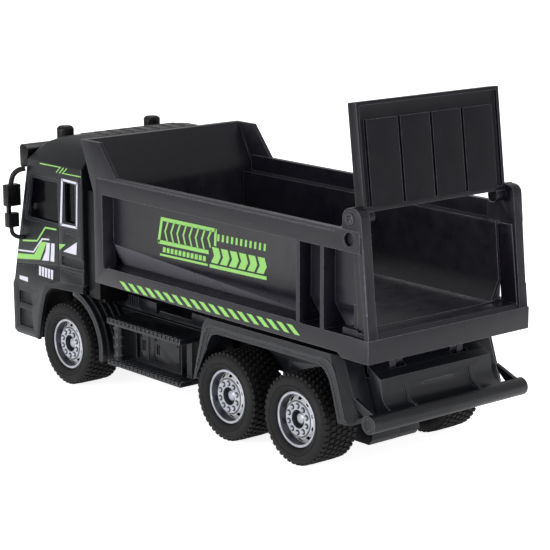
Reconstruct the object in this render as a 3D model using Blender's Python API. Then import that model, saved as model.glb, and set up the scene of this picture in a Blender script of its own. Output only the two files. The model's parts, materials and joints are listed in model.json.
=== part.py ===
"""Toy dump truck: a three-axle tipper, about 24 cm long, with a friction drive.

All sizes below are in millimetres and become metres when a mesh is made.
+X is the truck's left, the cab faces -Y, +Z is up, and the origin is on the
ground under the middle of the truck.
"""

import math

import bmesh
import bpy
from mathutils import Matrix, Vector

MM = 0.001
GAP = 0.3                      # clearance between neighbouring pieces

# ---- driving dimensions -------------------------------------------------

WHEEL_RADIUS = 18.0
TYRE_INNER_FACE = 24.1         # distance of the tyre's inner face from the middle
TYRE_OUTER_FACE = 42.6
RIM_RADIUS = 11.0
AXLE_RADIUS = 1.25
AXLE_BORE = AXLE_RADIUS + GAP
AXLE_Z = WHEEL_RADIUS
AXLE_Y = {"front": -76.0, "middle": 33.5, "rear": 75.0}

CAB_HALF_WIDTH = 41.0
CAB_REAR_Y = -63.2
CAB_BASE_Z = 45.5
CAB_WALL = 1.6
CAB_SCREW_Y = -100.0
BUMPER_BASE_Z = 15.5

BED_HALF_WIDTH = 42.6
RAIL_INNER_X = 40.1
WALL_OUTER_X = 36.8
WALL_INNER_X = 35.6
RAIL_BASE_Z = 88.3
RAIL_TOP_Z = 96.3
FLOOR_TOP_Z = 59.0
FLOOR_BASE_Z = 55.6
SILL_TOP_Z = 57.0
SILL_BASE_Z = 50.0
BED_FRONT_Y = -52.0
BED_PANEL_FRONT_Y = -46.2
BED_WALL_END_Y = 104.4
BED_REAR_Y = 116.5
HEADBOARD_TOP = (-60.7, 110.0)

GATE_AXIS = (105.7, 100.3)     # y and z of the tailgate's hinge line
POST_INNER_X = 37.6
GATE_HALF_WIDTH = 36.9
GATE_BASE = 1.6                # from the hinge line to the gate's near edge
GATE_LENGTH = 41.4
GATE_THICKNESS = 4.4
GATE_LEAN = math.radians(7.4)  # the raised gate leans forward by this much
GATE_PIN_RADIUS = 1.2
GATE_LUG_RADIUS = 4.1

BED_AXIS = (99.5, 43.0)        # y and z of the bed's tipping axis
BED_PIN_RADIUS = 1.5
LUG_RADIUS = 4.2

FRAME_TOP_Z = 38.0
FRAME_HALF_WIDTH = 23.3
FRAME_END_Y = 98.5

GEAR_MODULE = 0.8
AXLE_TEETH = 24
IDLER_TEETH = 22
PINION_TEETH = 10
DRIVE_AXLE = (AXLE_Y["rear"], AXLE_Z)
CASE_SIDE_X = {"left": 14.8, "right": -10.5}
CASE_WALL = 1.3
SHAFT_RADIUS = 0.95
FLYWHEEL_RADIUS = 10.5


# ---- materials ----------------------------------------------------------

def material(name, colour, roughness, metallic=0.0):
    made = bpy.data.materials.new(name)
    made.use_nodes = True
    shader = made.node_tree.nodes["Principled BSDF"]
    shader.inputs["Base Color"].default_value = (*colour, 1.0)
    shader.inputs["Roughness"].default_value = roughness
    shader.inputs["Metallic"].default_value = metallic
    return made


# ---- plain shapes, each returned as a bmesh in millimetres ---------------

AXES = {"X": (1, 2), "Y": (0, 2), "Z": (0, 1)}


def place(axis, level, pair):
    """The point at `level` along `axis`, with the other two coordinates in `pair`."""
    point = [level, level, level]
    point[AXES[axis][0]] = pair[0]
    point[AXES[axis][1]] = pair[1]
    return Vector(point)


def plate(axis, low, high, outline):
    """An outline extruded along an axis."""
    shape = bmesh.new()
    corners = [shape.verts.new(place(axis, low, pair)) for pair in outline]
    face = shape.faces.new(corners)
    grown = bmesh.ops.extrude_face_region(shape, geom=[face])
    moved = [item for item in grown["geom"] if isinstance(item, bmesh.types.BMVert)]
    bmesh.ops.translate(shape, verts=moved, vec=place(axis, high - low, (0.0, 0.0)))
    bmesh.ops.recalc_face_normals(shape, faces=shape.faces)
    return shape


def block(x, y, z):
    """A box between pairs of coordinates."""
    return plate("Z", min(z), max(z), [(x[0], y[0]), (x[1], y[0]), (x[1], y[1]), (x[0], y[1])])


def arc(centre, radius, start, end, steps):
    """Points on an arc, its angles in degrees from the first coordinate's direction."""
    points = []
    for index in range(steps + 1):
        angle = math.radians(start + (end - start) * index / steps)
        points.append((centre[0] + radius * math.cos(angle), centre[1] + radius * math.sin(angle)))
    return points


def disc(axis, centre, radius, low, high, steps=20):
    """A cylinder whose axis runs along X, Y or Z."""
    return plate(axis, low, high, arc(centre, radius, 0.0, 360.0, steps)[:-1])


def turned(axis, centre, profile, steps):
    """A profile of (radius, distance along the axis) turned once around that axis.

    A flat facet of the shape faces down, and its flats lie at the profile's radii.
    """
    shape = bmesh.new()
    first = math.radians(-90.0 + 180.0 / steps)
    stretch = 1.0 / math.cos(math.pi / steps)
    rings = []
    for radius, level in profile:
        if radius == 0.0:
            rings.append([shape.verts.new(place(axis, level, centre))])
            continue
        ring = []
        for index in range(steps):
            angle = first + 2.0 * math.pi * index / steps
            pair = (centre[0] + radius * stretch * math.cos(angle),
                    centre[1] + radius * stretch * math.sin(angle))
            ring.append(shape.verts.new(place(axis, level, pair)))
        rings.append(ring)
    for here, there in zip(rings, rings[1:] + rings[:1]):
        if len(here) == 1 and len(there) == 1:
            continue
        for index in range(steps):
            after = (index + 1) % steps
            corners = [here[index % len(here)], here[after % len(here)],
                       there[after % len(there)], there[index % len(there)]]
            shape.faces.new(list(dict.fromkeys(corners)))
    bmesh.ops.recalc_face_normals(shape, faces=shape.faces)
    return shape


def tube(points, radius, steps=8):
    """A round bar along a path of points."""
    shape = bmesh.new()
    path = [Vector(point) for point in points]
    rings = []
    for index, point in enumerate(path):
        ahead = path[min(index + 1, len(path) - 1)]
        behind = path[max(index - 1, 0)]
        tangent = (ahead - behind).normalized()
        side = tangent.cross(Vector((0.0, 1.0, 0.0))).normalized()
        up = side.cross(tangent)
        ring = []
        for step in range(steps):
            angle = 2.0 * math.pi * step / steps
            offset = side * (radius * math.cos(angle)) + up * (radius * math.sin(angle))
            ring.append(shape.verts.new(point + offset))
        rings.append(ring)
    for here, there in zip(rings, rings[1:]):
        for step in range(steps):
            after = (step + 1) % steps
            shape.faces.new([here[step], here[after], there[after], there[step]])
    shape.faces.new(rings[0])
    shape.faces.new(rings[-1])
    bmesh.ops.recalc_face_normals(shape, faces=shape.faces)
    return shape


def loft(sections):
    """A skin through rings of points with the same count, closed at both ends."""
    shape = bmesh.new()
    rings = [[shape.verts.new(point) for point in section] for section in sections]
    for here, there in zip(rings, rings[1:]):
        for index in range(len(here)):
            after = (index + 1) % len(here)
            shape.faces.new([here[index], here[after], there[after], there[index]])
    shape.faces.new(rings[0])
    shape.faces.new(rings[-1])
    bmesh.ops.recalc_face_normals(shape, faces=shape.faces)
    return shape


def inset(outline, distance):
    """A convex outline, listed anticlockwise, with every side moved inwards."""
    sides = []
    for here, there in zip(outline, outline[1:] + outline[:1]):
        along = Vector((there[0] - here[0], there[1] - here[1])).normalized()
        normal = Vector((-along.y, along.x))
        sides.append((normal, normal.dot(Vector(here)) + distance))
    points = []
    for (a, c), (b, d) in zip(sides[-1:] + sides[:-1], sides):
        scale = a.x * b.y - a.y * b.x
        points.append(((c * b.y - d * a.y) / scale, (a.x * d - b.x * c) / scale))
    return points


def flipped(outline):
    """The outline's mirror image in its first coordinate."""
    return [(-first, second) for first, second in reversed(outline)]


# ---- objects ------------------------------------------------------------

def joint_empty(name, position):
    empty = bpy.data.objects.new(name, None)
    empty.location = Vector(position) * MM
    bpy.context.scene.collection.objects.link(empty)
    return empty


def link_mesh(name, shape, joint):
    """Put a bmesh in the scene, its origin on the joint's axis where it has one."""
    origin = joint.location if joint else Vector((0.0, 0.0, 0.0))
    shape.transform(Matrix.Translation(-origin) @ Matrix.Scale(MM, 4))
    mesh = bpy.data.meshes.new(name)
    shape.to_mesh(mesh)
    shape.free()
    made = bpy.data.objects.new(name, mesh)
    made.parent = joint
    bpy.context.scene.collection.objects.link(made)
    return made


def piece(name, shape, finish, joint=None, add=(), cut=()):
    """One solid: a base shape, with other shapes united with it and cut from it."""
    made = link_mesh(name, shape, joint)
    made.data.materials.append(finish)
    for kind, operation, tools in (("add", "UNION", add), ("cut", "DIFFERENCE", cut)):
        for index, tool_shape in enumerate(tools):
            tool = link_mesh(f"{name}_{kind}_{index}", tool_shape, joint)
            tool.hide_render = True
            tool.display_type = "WIRE"
            change = made.modifiers.new(f"{kind}_{index}", "BOOLEAN")
            change.operation = operation
            change.object = tool
    return made


def rounded(made, width, segments=2):
    """Round the sharp edges of a piece."""
    bevel = made.modifiers.new("rounding", "BEVEL")
    bevel.width = width * MM
    bevel.segments = segments
    bevel.limit_method = "ANGLE"
    bevel.angle_limit = math.radians(40.0)
    return made


def smooth(made):
    made.data.shade_smooth()
    made.data.set_sharp_from_angle(angle=math.radians(35.0))
    return made


# ---- wheels and axles ---------------------------------------------------

TYRE_PROFILE = [(RIM_RADIUS + GAP, 25.2), (12.4, TYRE_INNER_FACE), (16.4, TYRE_INNER_FACE),
                (WHEEL_RADIUS, 25.9), (WHEEL_RADIUS, 40.4), (16.8, TYRE_OUTER_FACE - 0.2),
                (14.6, TYRE_OUTER_FACE), (12.6, 41.6), (RIM_RADIUS + GAP, 40.2)]

RIM_PROFILE = [(0.0, 39.4), (2.6, 39.4), (3.4, 38.6), (3.4, 36.9), (9.7, 36.9), (9.9, 40.9),
               (RIM_RADIUS, 40.9), (RIM_RADIUS, 24.6), (9.9, 24.6), (9.7, 34.9), (3.4, 34.9),
               (3.4, 27.0), (AXLE_BORE, 27.0), (AXLE_BORE, 37.2), (0.0, 37.2)]


def on_side(profile, side):
    return [(radius, side * level) for radius, level in profile]


def wheelset(place_name, joint, rubber, silver, steel):
    """An axle with a tyre and a rim at each end."""
    centre = (AXLE_Y[place_name], AXLE_Z)
    axle = disc("X", centre, AXLE_RADIUS, -36.6, 36.6, 12)
    smooth(piece(f"{place_name}_axle", axle, steel, joint))
    for side_name, side in (("left", 1), ("right", -1)):
        tyre = turned("X", centre, on_side(TYRE_PROFILE, side), 28)
        smooth(piece(f"tyre_{place_name}_{side_name}", tyre, rubber, joint))
        rim = turned("X", centre, on_side(RIM_PROFILE, side), 18)
        smooth(piece(f"rim_{place_name}_{side_name}", rim, silver, joint))


# ---- friction drive -----------------------------------------------------

def gear_outline(centre, teeth, first_tooth):
    """A spur gear's outline; `first_tooth` is the angle of one tooth's middle."""
    pitch_radius = GEAR_MODULE * teeth / 2.0
    steps = ((-1.25, 0.85), (0.0, 0.6), (0.85, 0.28))
    points = []
    for tooth in range(teeth):
        middle = first_tooth + 2.0 * math.pi * tooth / teeth
        rising = [(height, -half) for height, half in steps]
        falling = [(height, half) for height, half in reversed(steps)]
        for height, half in rising + falling:
            radius = pitch_radius + height * GEAR_MODULE
            angle = middle + half * GEAR_MODULE / radius
            points.append((centre[0] + radius * math.cos(angle),
                           centre[1] + radius * math.sin(angle)))
    return points


def centre_distance(teeth_a, teeth_b):
    return GEAR_MODULE * (teeth_a + teeth_b) / 2.0


def stepped_centre(start, distance, rise):
    """The point `distance` ahead of start (towards the cab) and `rise` above it."""
    return (start[0] - math.sqrt(distance ** 2 - rise ** 2), start[1] + rise)


IDLER_AXIS = stepped_centre(DRIVE_AXLE, centre_distance(AXLE_TEETH, PINION_TEETH), 5.4)
FLYWHEEL_AXIS = stepped_centre(IDLER_AXIS, centre_distance(IDLER_TEETH, PINION_TEETH), -2.8)


def direction(start, end):
    return math.atan2(end[1] - start[1], end[0] - start[0])


def meshing_angle(driver, follower, teeth):
    """The tooth angle that puts a gap of the follower against the driver's tooth."""
    return direction(follower, driver) + math.pi / teeth


def friction_drive(axle_joint, idler_joint, flywheel_joint, nylon, brass, steel):
    to_idler = direction(DRIVE_AXLE, IDLER_AXIS)
    gear = plate("X", 1.0, 4.0, gear_outline(DRIVE_AXLE, AXLE_TEETH, to_idler))
    bore = disc("X", DRIVE_AXLE, AXLE_BORE, 0.0, 5.0, 12)
    piece("axle_gear", gear, nylon, axle_joint, cut=[bore])

    to_flywheel = direction(IDLER_AXIS, FLYWHEEL_AXIS)
    wheel = plate("X", -3.8, -0.8, gear_outline(IDLER_AXIS, IDLER_TEETH, to_flywheel))
    pinion_angle = meshing_angle(DRIVE_AXLE, IDLER_AXIS, PINION_TEETH)
    pinion = plate("X", -1.5, 4.4, gear_outline(IDLER_AXIS, PINION_TEETH, pinion_angle))
    bore = disc("X", IDLER_AXIS, SHAFT_RADIUS + GAP, -5.0, 6.0, 12)
    piece("idler_gear", wheel, nylon, idler_joint, add=[pinion], cut=[bore])
    shaft_ends = (CASE_SIDE_X["right"] + 0.2, CASE_SIDE_X["left"] - 0.2)
    shaft = disc("X", IDLER_AXIS, SHAFT_RADIUS, *shaft_ends, 12)
    piece("idler_shaft", shaft, steel)

    fly_angle = meshing_angle(IDLER_AXIS, FLYWHEEL_AXIS, PINION_TEETH)
    pinion = plate("X", -4.4, 0.2, gear_outline(FLYWHEEL_AXIS, PINION_TEETH, fly_angle))
    bore = disc("X", FLYWHEEL_AXIS, SHAFT_RADIUS + GAP, -5.0, 6.0, 12)
    piece("flywheel_pinion", pinion, brass, flywheel_joint, cut=[bore])
    rim = FLYWHEEL_RADIUS
    profile = [(SHAFT_RADIUS + GAP, 4.0), (3.0, 4.0), (3.0, 5.8), (7.0, 5.8), (7.0, 4.8),
               (rim, 4.8), (rim, 8.6), (7.0, 8.6), (7.0, 7.6), (SHAFT_RADIUS + GAP, 7.6)]
    smooth(piece("flywheel", turned("X", FLYWHEEL_AXIS, profile, 20), steel, flywheel_joint))
    shaft = disc("X", FLYWHEEL_AXIS, SHAFT_RADIUS, *shaft_ends, 12)
    piece("flywheel_shaft", shaft, steel, flywheel_joint)


CASE_OUTLINE = [(37.9, 8.4), (60.0, 8.4), (66.0, 5.6), (88.0, 5.6), (90.0, 8.0), (90.0, 29.5),
                (71.0, 34.6), (42.0, 34.6), (37.9, 32.0)]


def gearbox(plastic):
    """Two half shells that meet on the middle plane."""
    for side_name, outer in CASE_SIDE_X.items():
        side = math.copysign(1.0, outer)
        inner = outer - side * CASE_WALL
        drilled = (inner - side, outer + side)
        shell = plate("X", side * GAP / 2.0, outer, CASE_OUTLINE)
        hollow = plate("X", -side, inner, inset(CASE_OUTLINE, CASE_WALL))
        holes = [disc("X", DRIVE_AXLE, AXLE_BORE, *drilled, 12)]
        for centre in (IDLER_AXIS, FLYWHEEL_AXIS):
            holes.append(disc("X", centre, SHAFT_RADIUS + GAP, *drilled, 12))
        piece(f"gearbox_half_{side_name}", shell, plastic, cut=[hollow] + holes)


# ---- chassis ------------------------------------------------------------

BEARING_BASE_Z = 16.4
BOSS_OFFSET = {"front": 6.5, "middle": -6.5}


def axle_slot(centre_y, half_length):
    """The cutter for an axle's bearing slot, open downwards and round on top."""
    outline = arc((centre_y, AXLE_Z), AXLE_BORE, 0.0, 180.0, 8)
    outline += [(centre_y - AXLE_BORE, 10.0), (centre_y + AXLE_BORE, 10.0)]
    return plate("X", -half_length, half_length, outline)


def chassis_frame(plastic):
    """A downward-opening channel with bearing blocks, ledges and rest pads."""
    half = FRAME_HALF_WIDTH
    section = [(-half, 28.0), (-half, FRAME_TOP_Z), (half, FRAME_TOP_Z), (half, 28.0),
               (half - 1.8, 28.0), (half - 1.8, 36.0), (1.8 - half, 36.0), (1.8 - half, 28.0)]
    channel = plate("Y", -112.0, FRAME_END_Y, section)
    blocks = []
    for side in (1, -1):
        for centre in AXLE_Y.values():
            blocks.append(block((side * 18.0, side * 22.4), (centre - 4.5, centre + 4.5),
                                (BEARING_BASE_Z, 37.0)))
        blocks.append(block((side * 22.0, side * 25.5), (-64.0, 12.0), (32.0, 35.5)))
        blocks.append(block((side * 11.0, side * 25.0), (-44.6, -33.0), (37.0, 41.6)))
        blocks.append(block((side * 11.0, side * 25.0), (-8.5, 11.0), (37.0, 41.7)))
    for name, offset in BOSS_OFFSET.items():
        middle = AXLE_Y[name] + offset
        blocks.append(block((-3.2, 3.2), (middle - 3.2, middle + 3.2), (BEARING_BASE_Z, 37.0)))
    slots = [axle_slot(centre, 24.0) for centre in AXLE_Y.values()]
    for name, offset in BOSS_OFFSET.items():
        middle = (0.0, AXLE_Y[name] + offset)
        slots.append(disc("Z", middle, 1.0 + GAP, 10.0, 30.0, 10))
    slots.append(disc("Z", (0.0, CAB_SCREW_Y), 1.0 + GAP, 34.0, 40.0, 10))
    piece("chassis_frame", channel, plastic, add=blocks, cut=slots)


def screw(name, centre, head_z, shank_top_z, steel):
    """A pan-head screw driven upwards."""
    profile = [(0.0, shank_top_z), (1.0, shank_top_z), (1.0, head_z + 1.2), (2.0, head_z + 1.2),
               (2.0, head_z + 0.4), (1.5, head_z), (0.0, head_z)]
    smooth(piece(name, turned("Z", centre, profile, 10), steel))


def axle_keepers(plastic, steel):
    """A plate under an axle's two bearing blocks, held by one screw."""
    top = BEARING_BASE_Z - GAP
    for name, offset in BOSS_OFFSET.items():
        centre = AXLE_Y[name]
        boss = centre + offset
        bar = block((-22.4, 22.4), (centre - 4.0, centre + 4.0), (top - 2.2, top))
        reach = sorted((centre, boss + math.copysign(3.0, offset)))
        tongue = block((-4.0, 4.0), reach, (top - 2.2, top))
        hole = disc("Z", (0.0, boss), 1.0 + GAP, 10.0, 20.0, 10)
        piece(f"{name}_axle_keeper", bar, plastic, add=[tongue], cut=[hole])
        screw(f"{name}_keeper_screw", (0.0, boss), top - 2.2 - GAP - 1.2, 28.0, steel)


def front_mudguards(plastic):
    """Quarter-round guards behind the front wheels."""
    centre = (AXLE_Y["front"], AXLE_Z)
    outline = arc(centre, 24.6, -8.0, 80.0, 12) + arc(centre, 22.8, 80.0, -8.0, 12)
    for side_name, side in (("left", 1), ("right", -1)):
        guard = plate("X", side * 25.9, side * 40.6, outline)
        smooth(piece(f"front_mudguard_{side_name}", guard, plastic))


STEP_FRONT_Y = -46.2
STEP_REAR_Y = 3.9
STEP_OUTER_X = 41.2
STEP_BASE_Z = 15.2
STEP_TOP_Z = 35.3
LOCKER_FACE_X = 32.4
LOCKER_REAR_Y = -6.2


def step_boxes(plastic):
    """Lockers between the wheels, with a wide step plate above and below."""
    inner = 25.8
    along = (STEP_FRONT_Y, STEP_REAR_Y)
    for side_name, side in (("left", 1), ("right", -1)):
        locker = block((side * inner, side * LOCKER_FACE_X), (STEP_FRONT_Y, LOCKER_REAR_Y),
                       (16.0, 34.0))
        reach = (side * inner, side * STEP_OUTER_X)
        extras = [block(reach, along, (STEP_BASE_Z, 17.0)),
                  block(reach, along, (33.0, STEP_TOP_Z)),
                  block((side * 29.6, side * 32.8), (-2.2, 1.0), (16.0, 34.0)),
                  disc("Z", (side * 37.2, -43.0), 2.2, 16.0, 34.0, 10)]
        for door in ((-24.4, -7.2), (-34.0, -28.2)):
            door_x = (side * (LOCKER_FACE_X - 1.0), side * (LOCKER_FACE_X + 0.6))
            extras.append(block(door_x, door, (19.0, 30.6)))
        recess = block((side * (LOCKER_FACE_X - 2.0), side * 36.0), (-37.3, -34.5), (18.0, 32.0))
        piece(f"step_box_{side_name}", locker, plastic, add=extras, cut=[recess])


FENDER_OUTER_X = 41.5
FENDER_LEG_TOP = (99.2, 45.2)
FENDER_LEG_FOOT = (106.8, 25.0)
FENDER_LEG_CHAMFER = 3.6


def leg_chamfer(side):
    """The cutter that takes the outer corner off a fender's slanted rear leg."""
    (top_y, top_z), (foot_y, foot_z) = FENDER_LEG_TOP, FENDER_LEG_FOOT
    slope = (foot_y - top_y) / (foot_z - top_z)
    outer = FENDER_OUTER_X + 0.5
    sections = []
    for z in (foot_z - 5.0, top_z + 5.0):
        y = top_y + slope * (z - top_z) + 0.5
        sections.append([(side * (outer - FENDER_LEG_CHAMFER - 1.0), y, z), (side * outer, y, z),
                         (side * outer, y - FENDER_LEG_CHAMFER - 1.0, z)])
    return loft(sections)


def rear_fenders(plastic):
    """One arch over both rear wheels on each side."""
    outline = [(12.9, 21.0), (19.2, 44.6), (21.2, 47.2), (23.6, 48.0), (94.6, 48.0),
               (97.4, 47.2), FENDER_LEG_TOP, FENDER_LEG_FOOT, (105.8, 22.6), (99.2, 22.4),
               (96.8, 31.0), (94.4, 38.0), (91.6, 41.4), (88.2, 42.8), (28.2, 42.6),
               (25.0, 41.6), (23.4, 39.6), (14.2, 21.6)]
    for side_name, side in (("left", 1), ("right", -1)):
        arch = plate("X", side * 24.0, side * FENDER_OUTER_X, outline)
        relief = block((side * 23.0, side * 29.7), (98.2, 110.0), (20.0, 50.0))
        piece(f"rear_fender_{side_name}", arch, plastic, cut=[relief, leg_chamfer(side)])


BAR_CENTRE = (115.2, 25.0)
BAR_RADIUS = 3.5
TAIL_HALF_WIDTH = 29.3
TAIL_TOP_Z = 38.8


def rear_bumper(plastic):
    """The tail box with its under-run bar and the two ears of the bed's pivot."""
    outline = [(99.0, 38.2), (105.4, 38.2), (105.4, 40.8), (109.2, TAIL_TOP_Z), (109.8, 33.6),
               (110.5, 31.2), (112.0, 29.4), (115.2, 28.3), (115.2, 21.8), (99.0, 21.8)]
    box = plate("X", -TAIL_HALF_WIDTH, TAIL_HALF_WIDTH, outline)
    extras = [disc("X", BAR_CENTRE, BAR_RADIUS, -41.0, 41.0, 20)]
    hollow = block((-27.6, 27.6), (100.6, 108.0), (20.0, 36.8))
    ear = arc(BED_AXIS, LUG_RADIUS, 0.0, 180.0, 10) + [(99.3, 37.4), (103.9, 37.4)]
    rib = [(109.0, 36.2), (110.0, 36.0), (110.7, 33.4), (111.6, 31.6), (113.0, 30.2),
           (115.4, 29.2), (118.3, 26.6), (115.0, 26.0), (108.6, 30.0)]
    gusset = [(104.9, 32.6), (106.9, 29.3), (112.6, 24.6), (115.6, 28.4)]
    hood = [(105.8, 38.0), (105.8, 40.6), (102.0, 42.7), (102.0, 40.4), (104.0, 38.0)]
    extras.append(plate("X", -12.4, 12.4, hood))
    for side in (1, -1):
        extras.append(plate("X", side * 20.6, side * TAIL_HALF_WIDTH, hood))
        extras.append(plate("X", side * 16.4, side * 19.4, ear))
        extras.append(plate("X", side * 16.6, side * 17.6, rib))
        extras.append(plate("X", side * 37.0, side * 38.6, gusset))
    bore = disc("X", BED_AXIS, BED_PIN_RADIUS + GAP, -22.0, 22.0, 14)
    piece("rear_bumper", box, plastic, add=extras, cut=[hollow, bore])


# ---- cab ----------------------------------------------------------------

# height, front face y, rear face y, half-width and front corner radius
CAB_LEVELS = [
    (BUMPER_BASE_Z, -117.2, CAB_REAR_Y, 40.4, 1.0),
    (17.0, -118.5, CAB_REAR_Y, CAB_HALF_WIDTH, 1.0),
    (38.0, -118.75, CAB_REAR_Y, CAB_HALF_WIDTH, 1.0),
    (41.0, -117.2, CAB_REAR_Y, CAB_HALF_WIDTH, 1.0),
    (53.5, -114.3, CAB_REAR_Y, CAB_HALF_WIDTH, 1.0),
    (96.2, -104.1, CAB_REAR_Y, CAB_HALF_WIDTH, 1.0),
    (98.6, -103.4, CAB_REAR_Y, 39.0, 2.0),
    (103.5, -100.4, -63.8, 34.9, 4.0),
    (106.2, -94.0, -65.8, 31.4, 5.0),
    (108.6, -80.0, -69.6, 27.0, 4.0),
]


def cab_section(level, shrink, steps=4):
    """A horizontal section of the cab, all its sides moved inwards by `shrink`."""
    height, front, rear, half, radius = level
    front += shrink
    rear -= shrink
    half -= shrink
    radius = max(radius - shrink, 1.0)
    small = 0.8
    ring = arc((half - small, rear - small), small, 0.0, 90.0, steps)
    ring += arc((small - half, rear - small), small, 90.0, 180.0, steps)
    ring += arc((radius - half, front + radius), radius, 180.0, 270.0, steps)
    ring += arc((half - radius, front + radius), radius, 270.0, 360.0, steps)
    return [(x, y, height) for x, y in ring]


def cab_level_at(height):
    """The cab's section values at any height, between the listed ones."""
    for low, high in zip(CAB_LEVELS, CAB_LEVELS[1:]):
        if low[0] <= height <= high[0]:
            share = (height - low[0]) / (high[0] - low[0])
            return tuple(a + (b - a) * share for a, b in zip(low, high))
    return CAB_LEVELS[-1]


def cab_skin(shrink, base=None, top=None):
    """The cab's outer skin moved inwards, between two heights where given."""
    levels = list(CAB_LEVELS)
    if top is not None:
        levels = [level for level in levels if base < level[0] < top]
        levels = [cab_level_at(base)] + levels + [cab_level_at(top)]
    return loft([cab_section(level, shrink) for level in levels])


SIDE_WINDOW = [(-82.0, 88.4), (-82.0, 70.4), (-105.6, 70.4), (-101.6, 88.4)]
REAR_WINDOW = [(-68.8, 89.2), (-68.8, 72.0), (-76.4, 72.0), (-76.4, 89.2)]
WINDSCREEN = [(-36.0, 88.6), (-37.4, 62.0), (37.4, 62.0), (36.0, 88.6)]
WHEEL_ARCH = [(-101.0, 10.0), (-101.0, 15.5), (-97.4, 29.0), (-94.4, 38.0), (-91.6, 41.6),
              (-87.4, 44.2), (-66.0, CAB_BASE_Z), (-60.0, CAB_BASE_Z), (-60.0, 10.0)]
BEACON_X = 23.8
BEACON_Y = -99.0
BEACON_RADIUS = 3.7
HEADLIGHT_X = (23.5, 36.5)
HEADLIGHT_Z = (22.0, 33.0)
GRILLE_HALF_WIDTH = 25.0


def cab_shell(plastic):
    inner_levels = [level for level in CAB_LEVELS if level[0] < 108.0]
    inner = [cab_section((10.0, *inner_levels[1][1:]), CAB_WALL)]
    inner += [cab_section(level, CAB_WALL) for level in inner_levels[1:]]
    roof = inner_levels[-1]
    inner[-1] = cab_section((roof[0] - 0.4, *roof[1:]), CAB_WALL + 0.8)
    cuts = [
        loft(inner),
        plate("X", -45.0, 45.0, WHEEL_ARCH),
        plate("X", -45.0, 45.0, SIDE_WINDOW),
        plate("X", -45.0, 45.0, REAR_WINDOW),
        plate("Y", -125.0, -98.0, WINDSCREEN),
        block((-GRILLE_HALF_WIDTH - GAP, GRILLE_HALF_WIDTH + GAP), (-125.0, -108.0),
              (41.2, 56.8)),
    ]
    for side in (1, -1):
        cuts.append(disc("Z", (side * BEACON_X, BEACON_Y), BEACON_RADIUS + GAP, 98.0, 112.0, 16))
        lamp_x = (side * (HEADLIGHT_X[0] - GAP), side * (HEADLIGHT_X[1] + GAP))
        lamp_z = (HEADLIGHT_Z[0] - GAP, HEADLIGHT_Z[1] + GAP)
        cuts.append(block(lamp_x, (-125.0, -112.0), lamp_z))
    smooth(piece("cab_shell", cab_skin(0.0), plastic, cut=cuts))


def cab_windows(glass):
    """One U-shaped glazing insert behind all the window openings."""
    outer = cab_skin(CAB_WALL + GAP, 59.0, 91.2)
    inner_levels = [cab_level_at(height) for height in (57.0, 93.0)]
    inner = loft([cab_section(level, CAB_WALL + GAP + 1.0) for level in inner_levels])
    rear = block((-45.0, 45.0), (-66.4, -60.0), (55.0, 95.0))
    smooth(piece("cab_windows", outer, glass, cut=[inner, rear]))


def cab_interior(plastic, steel):
    """Floor, dash, two seats and the steering wheel in one moulding."""
    floor = block((-35.0, 35.0), (-104.0, -66.0), (49.0, 51.0))
    parts = [block((-35.0, 35.0), (-106.0, -99.0), (50.0, 63.0))]
    foot_z = (FRAME_TOP_Z + GAP, 50.0)
    parts.append(block((-4.0, 4.0), (CAB_SCREW_Y - 3.2, CAB_SCREW_Y + 3.2), foot_z))
    for side in (1, -1):
        parts.append(block((side * 10.0, side * 20.0), (-73.0, -68.0), foot_z))
    for side in (1, -1):
        parts.append(block((side * 8.0, side * 28.0), (-92.0, -74.0), (50.5, 60.0)))
        back = [(-80.0, 59.0), (-74.0, 59.0), (-71.0, 82.0), (-74.6, 82.0)]
        parts.append(plate("X", side * 8.5, side * 27.5, back))
        head = [(-75.6, 81.0), (-71.0, 81.0), (-70.4, 88.0), (-74.6, 88.0)]
        parts.append(plate("X", side * 13.5, side * 22.5, head))
    column = tube([(18.0, -101.0, 58.0), (18.0, -94.4, 66.4)], 1.3)
    tilt = Matrix.Rotation(math.radians(-38.0), 4, "X")
    ring = turned("Z", (0.0, 0.0), [(6.4, -0.8), (7.9, -0.8), (7.9, 0.8), (6.4, 0.8)], 16)
    spoke = block((-7.0, 7.0), (-1.3, 1.3), (-0.6, 0.5))
    for shape in (ring, spoke):
        shape.transform(Matrix.Translation((18.0, -94.8, 66.0)) @ tilt)
    hole = disc("Z", (0.0, CAB_SCREW_Y), 1.0 + GAP, 36.0, 47.0, 10)
    piece("cab_interior", floor, plastic, add=parts + [column, spoke, ring], cut=[hole])
    screw("cab_screw", (0.0, CAB_SCREW_Y), 34.4, 46.6, steel)


def cab_trim(plastic, clear, black):
    """Grille, headlights, beacons and sun visor."""
    grille = [(-116.5, 41.5), (-113.2, 56.5), (-110.6, 56.5), (-113.9, 41.5)]
    piece("grille", plate("X", -GRILLE_HALF_WIDTH, GRILLE_HALF_WIDTH, grille), black)
    visor = [(-104.0, 100.4), (-106.0, 101.5), (-109.6, 101.9), (-110.9, 100.7), (-110.7, 92.6),
             (-109.6, 91.6), (-108.8, 92.4), (-108.8, 99.2), (-107.6, 99.9), (-104.4, 98.8)]
    cheek = [(-104.3, 100.0), (-110.0, 101.0), (-110.0, 92.4), (-105.6, 93.0)]
    cheeks = [plate("X", side * 39.0, side * 40.2, cheek) for side in (1, -1)]
    piece("sun_visor", plate("X", -40.2, 40.2, visor), black, add=cheeks)
    for side_name, side in (("left", 1), ("right", -1)):
        lamp = block([side * x for x in HEADLIGHT_X], (-118.3, -113.6), HEADLIGHT_Z)
        rounded(piece(f"headlight_{side_name}", lamp, clear), 0.6)
        profile = [(0.0, 109.6), (2.8, 109.6), (BEACON_RADIUS, 108.6), (BEACON_RADIUS, 100.8),
                   (0.0, 100.8)]
        beacon = turned("Z", (side * BEACON_X, BEACON_Y), profile, 16)
        smooth(piece(f"beacon_{side_name}", beacon, black))


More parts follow.
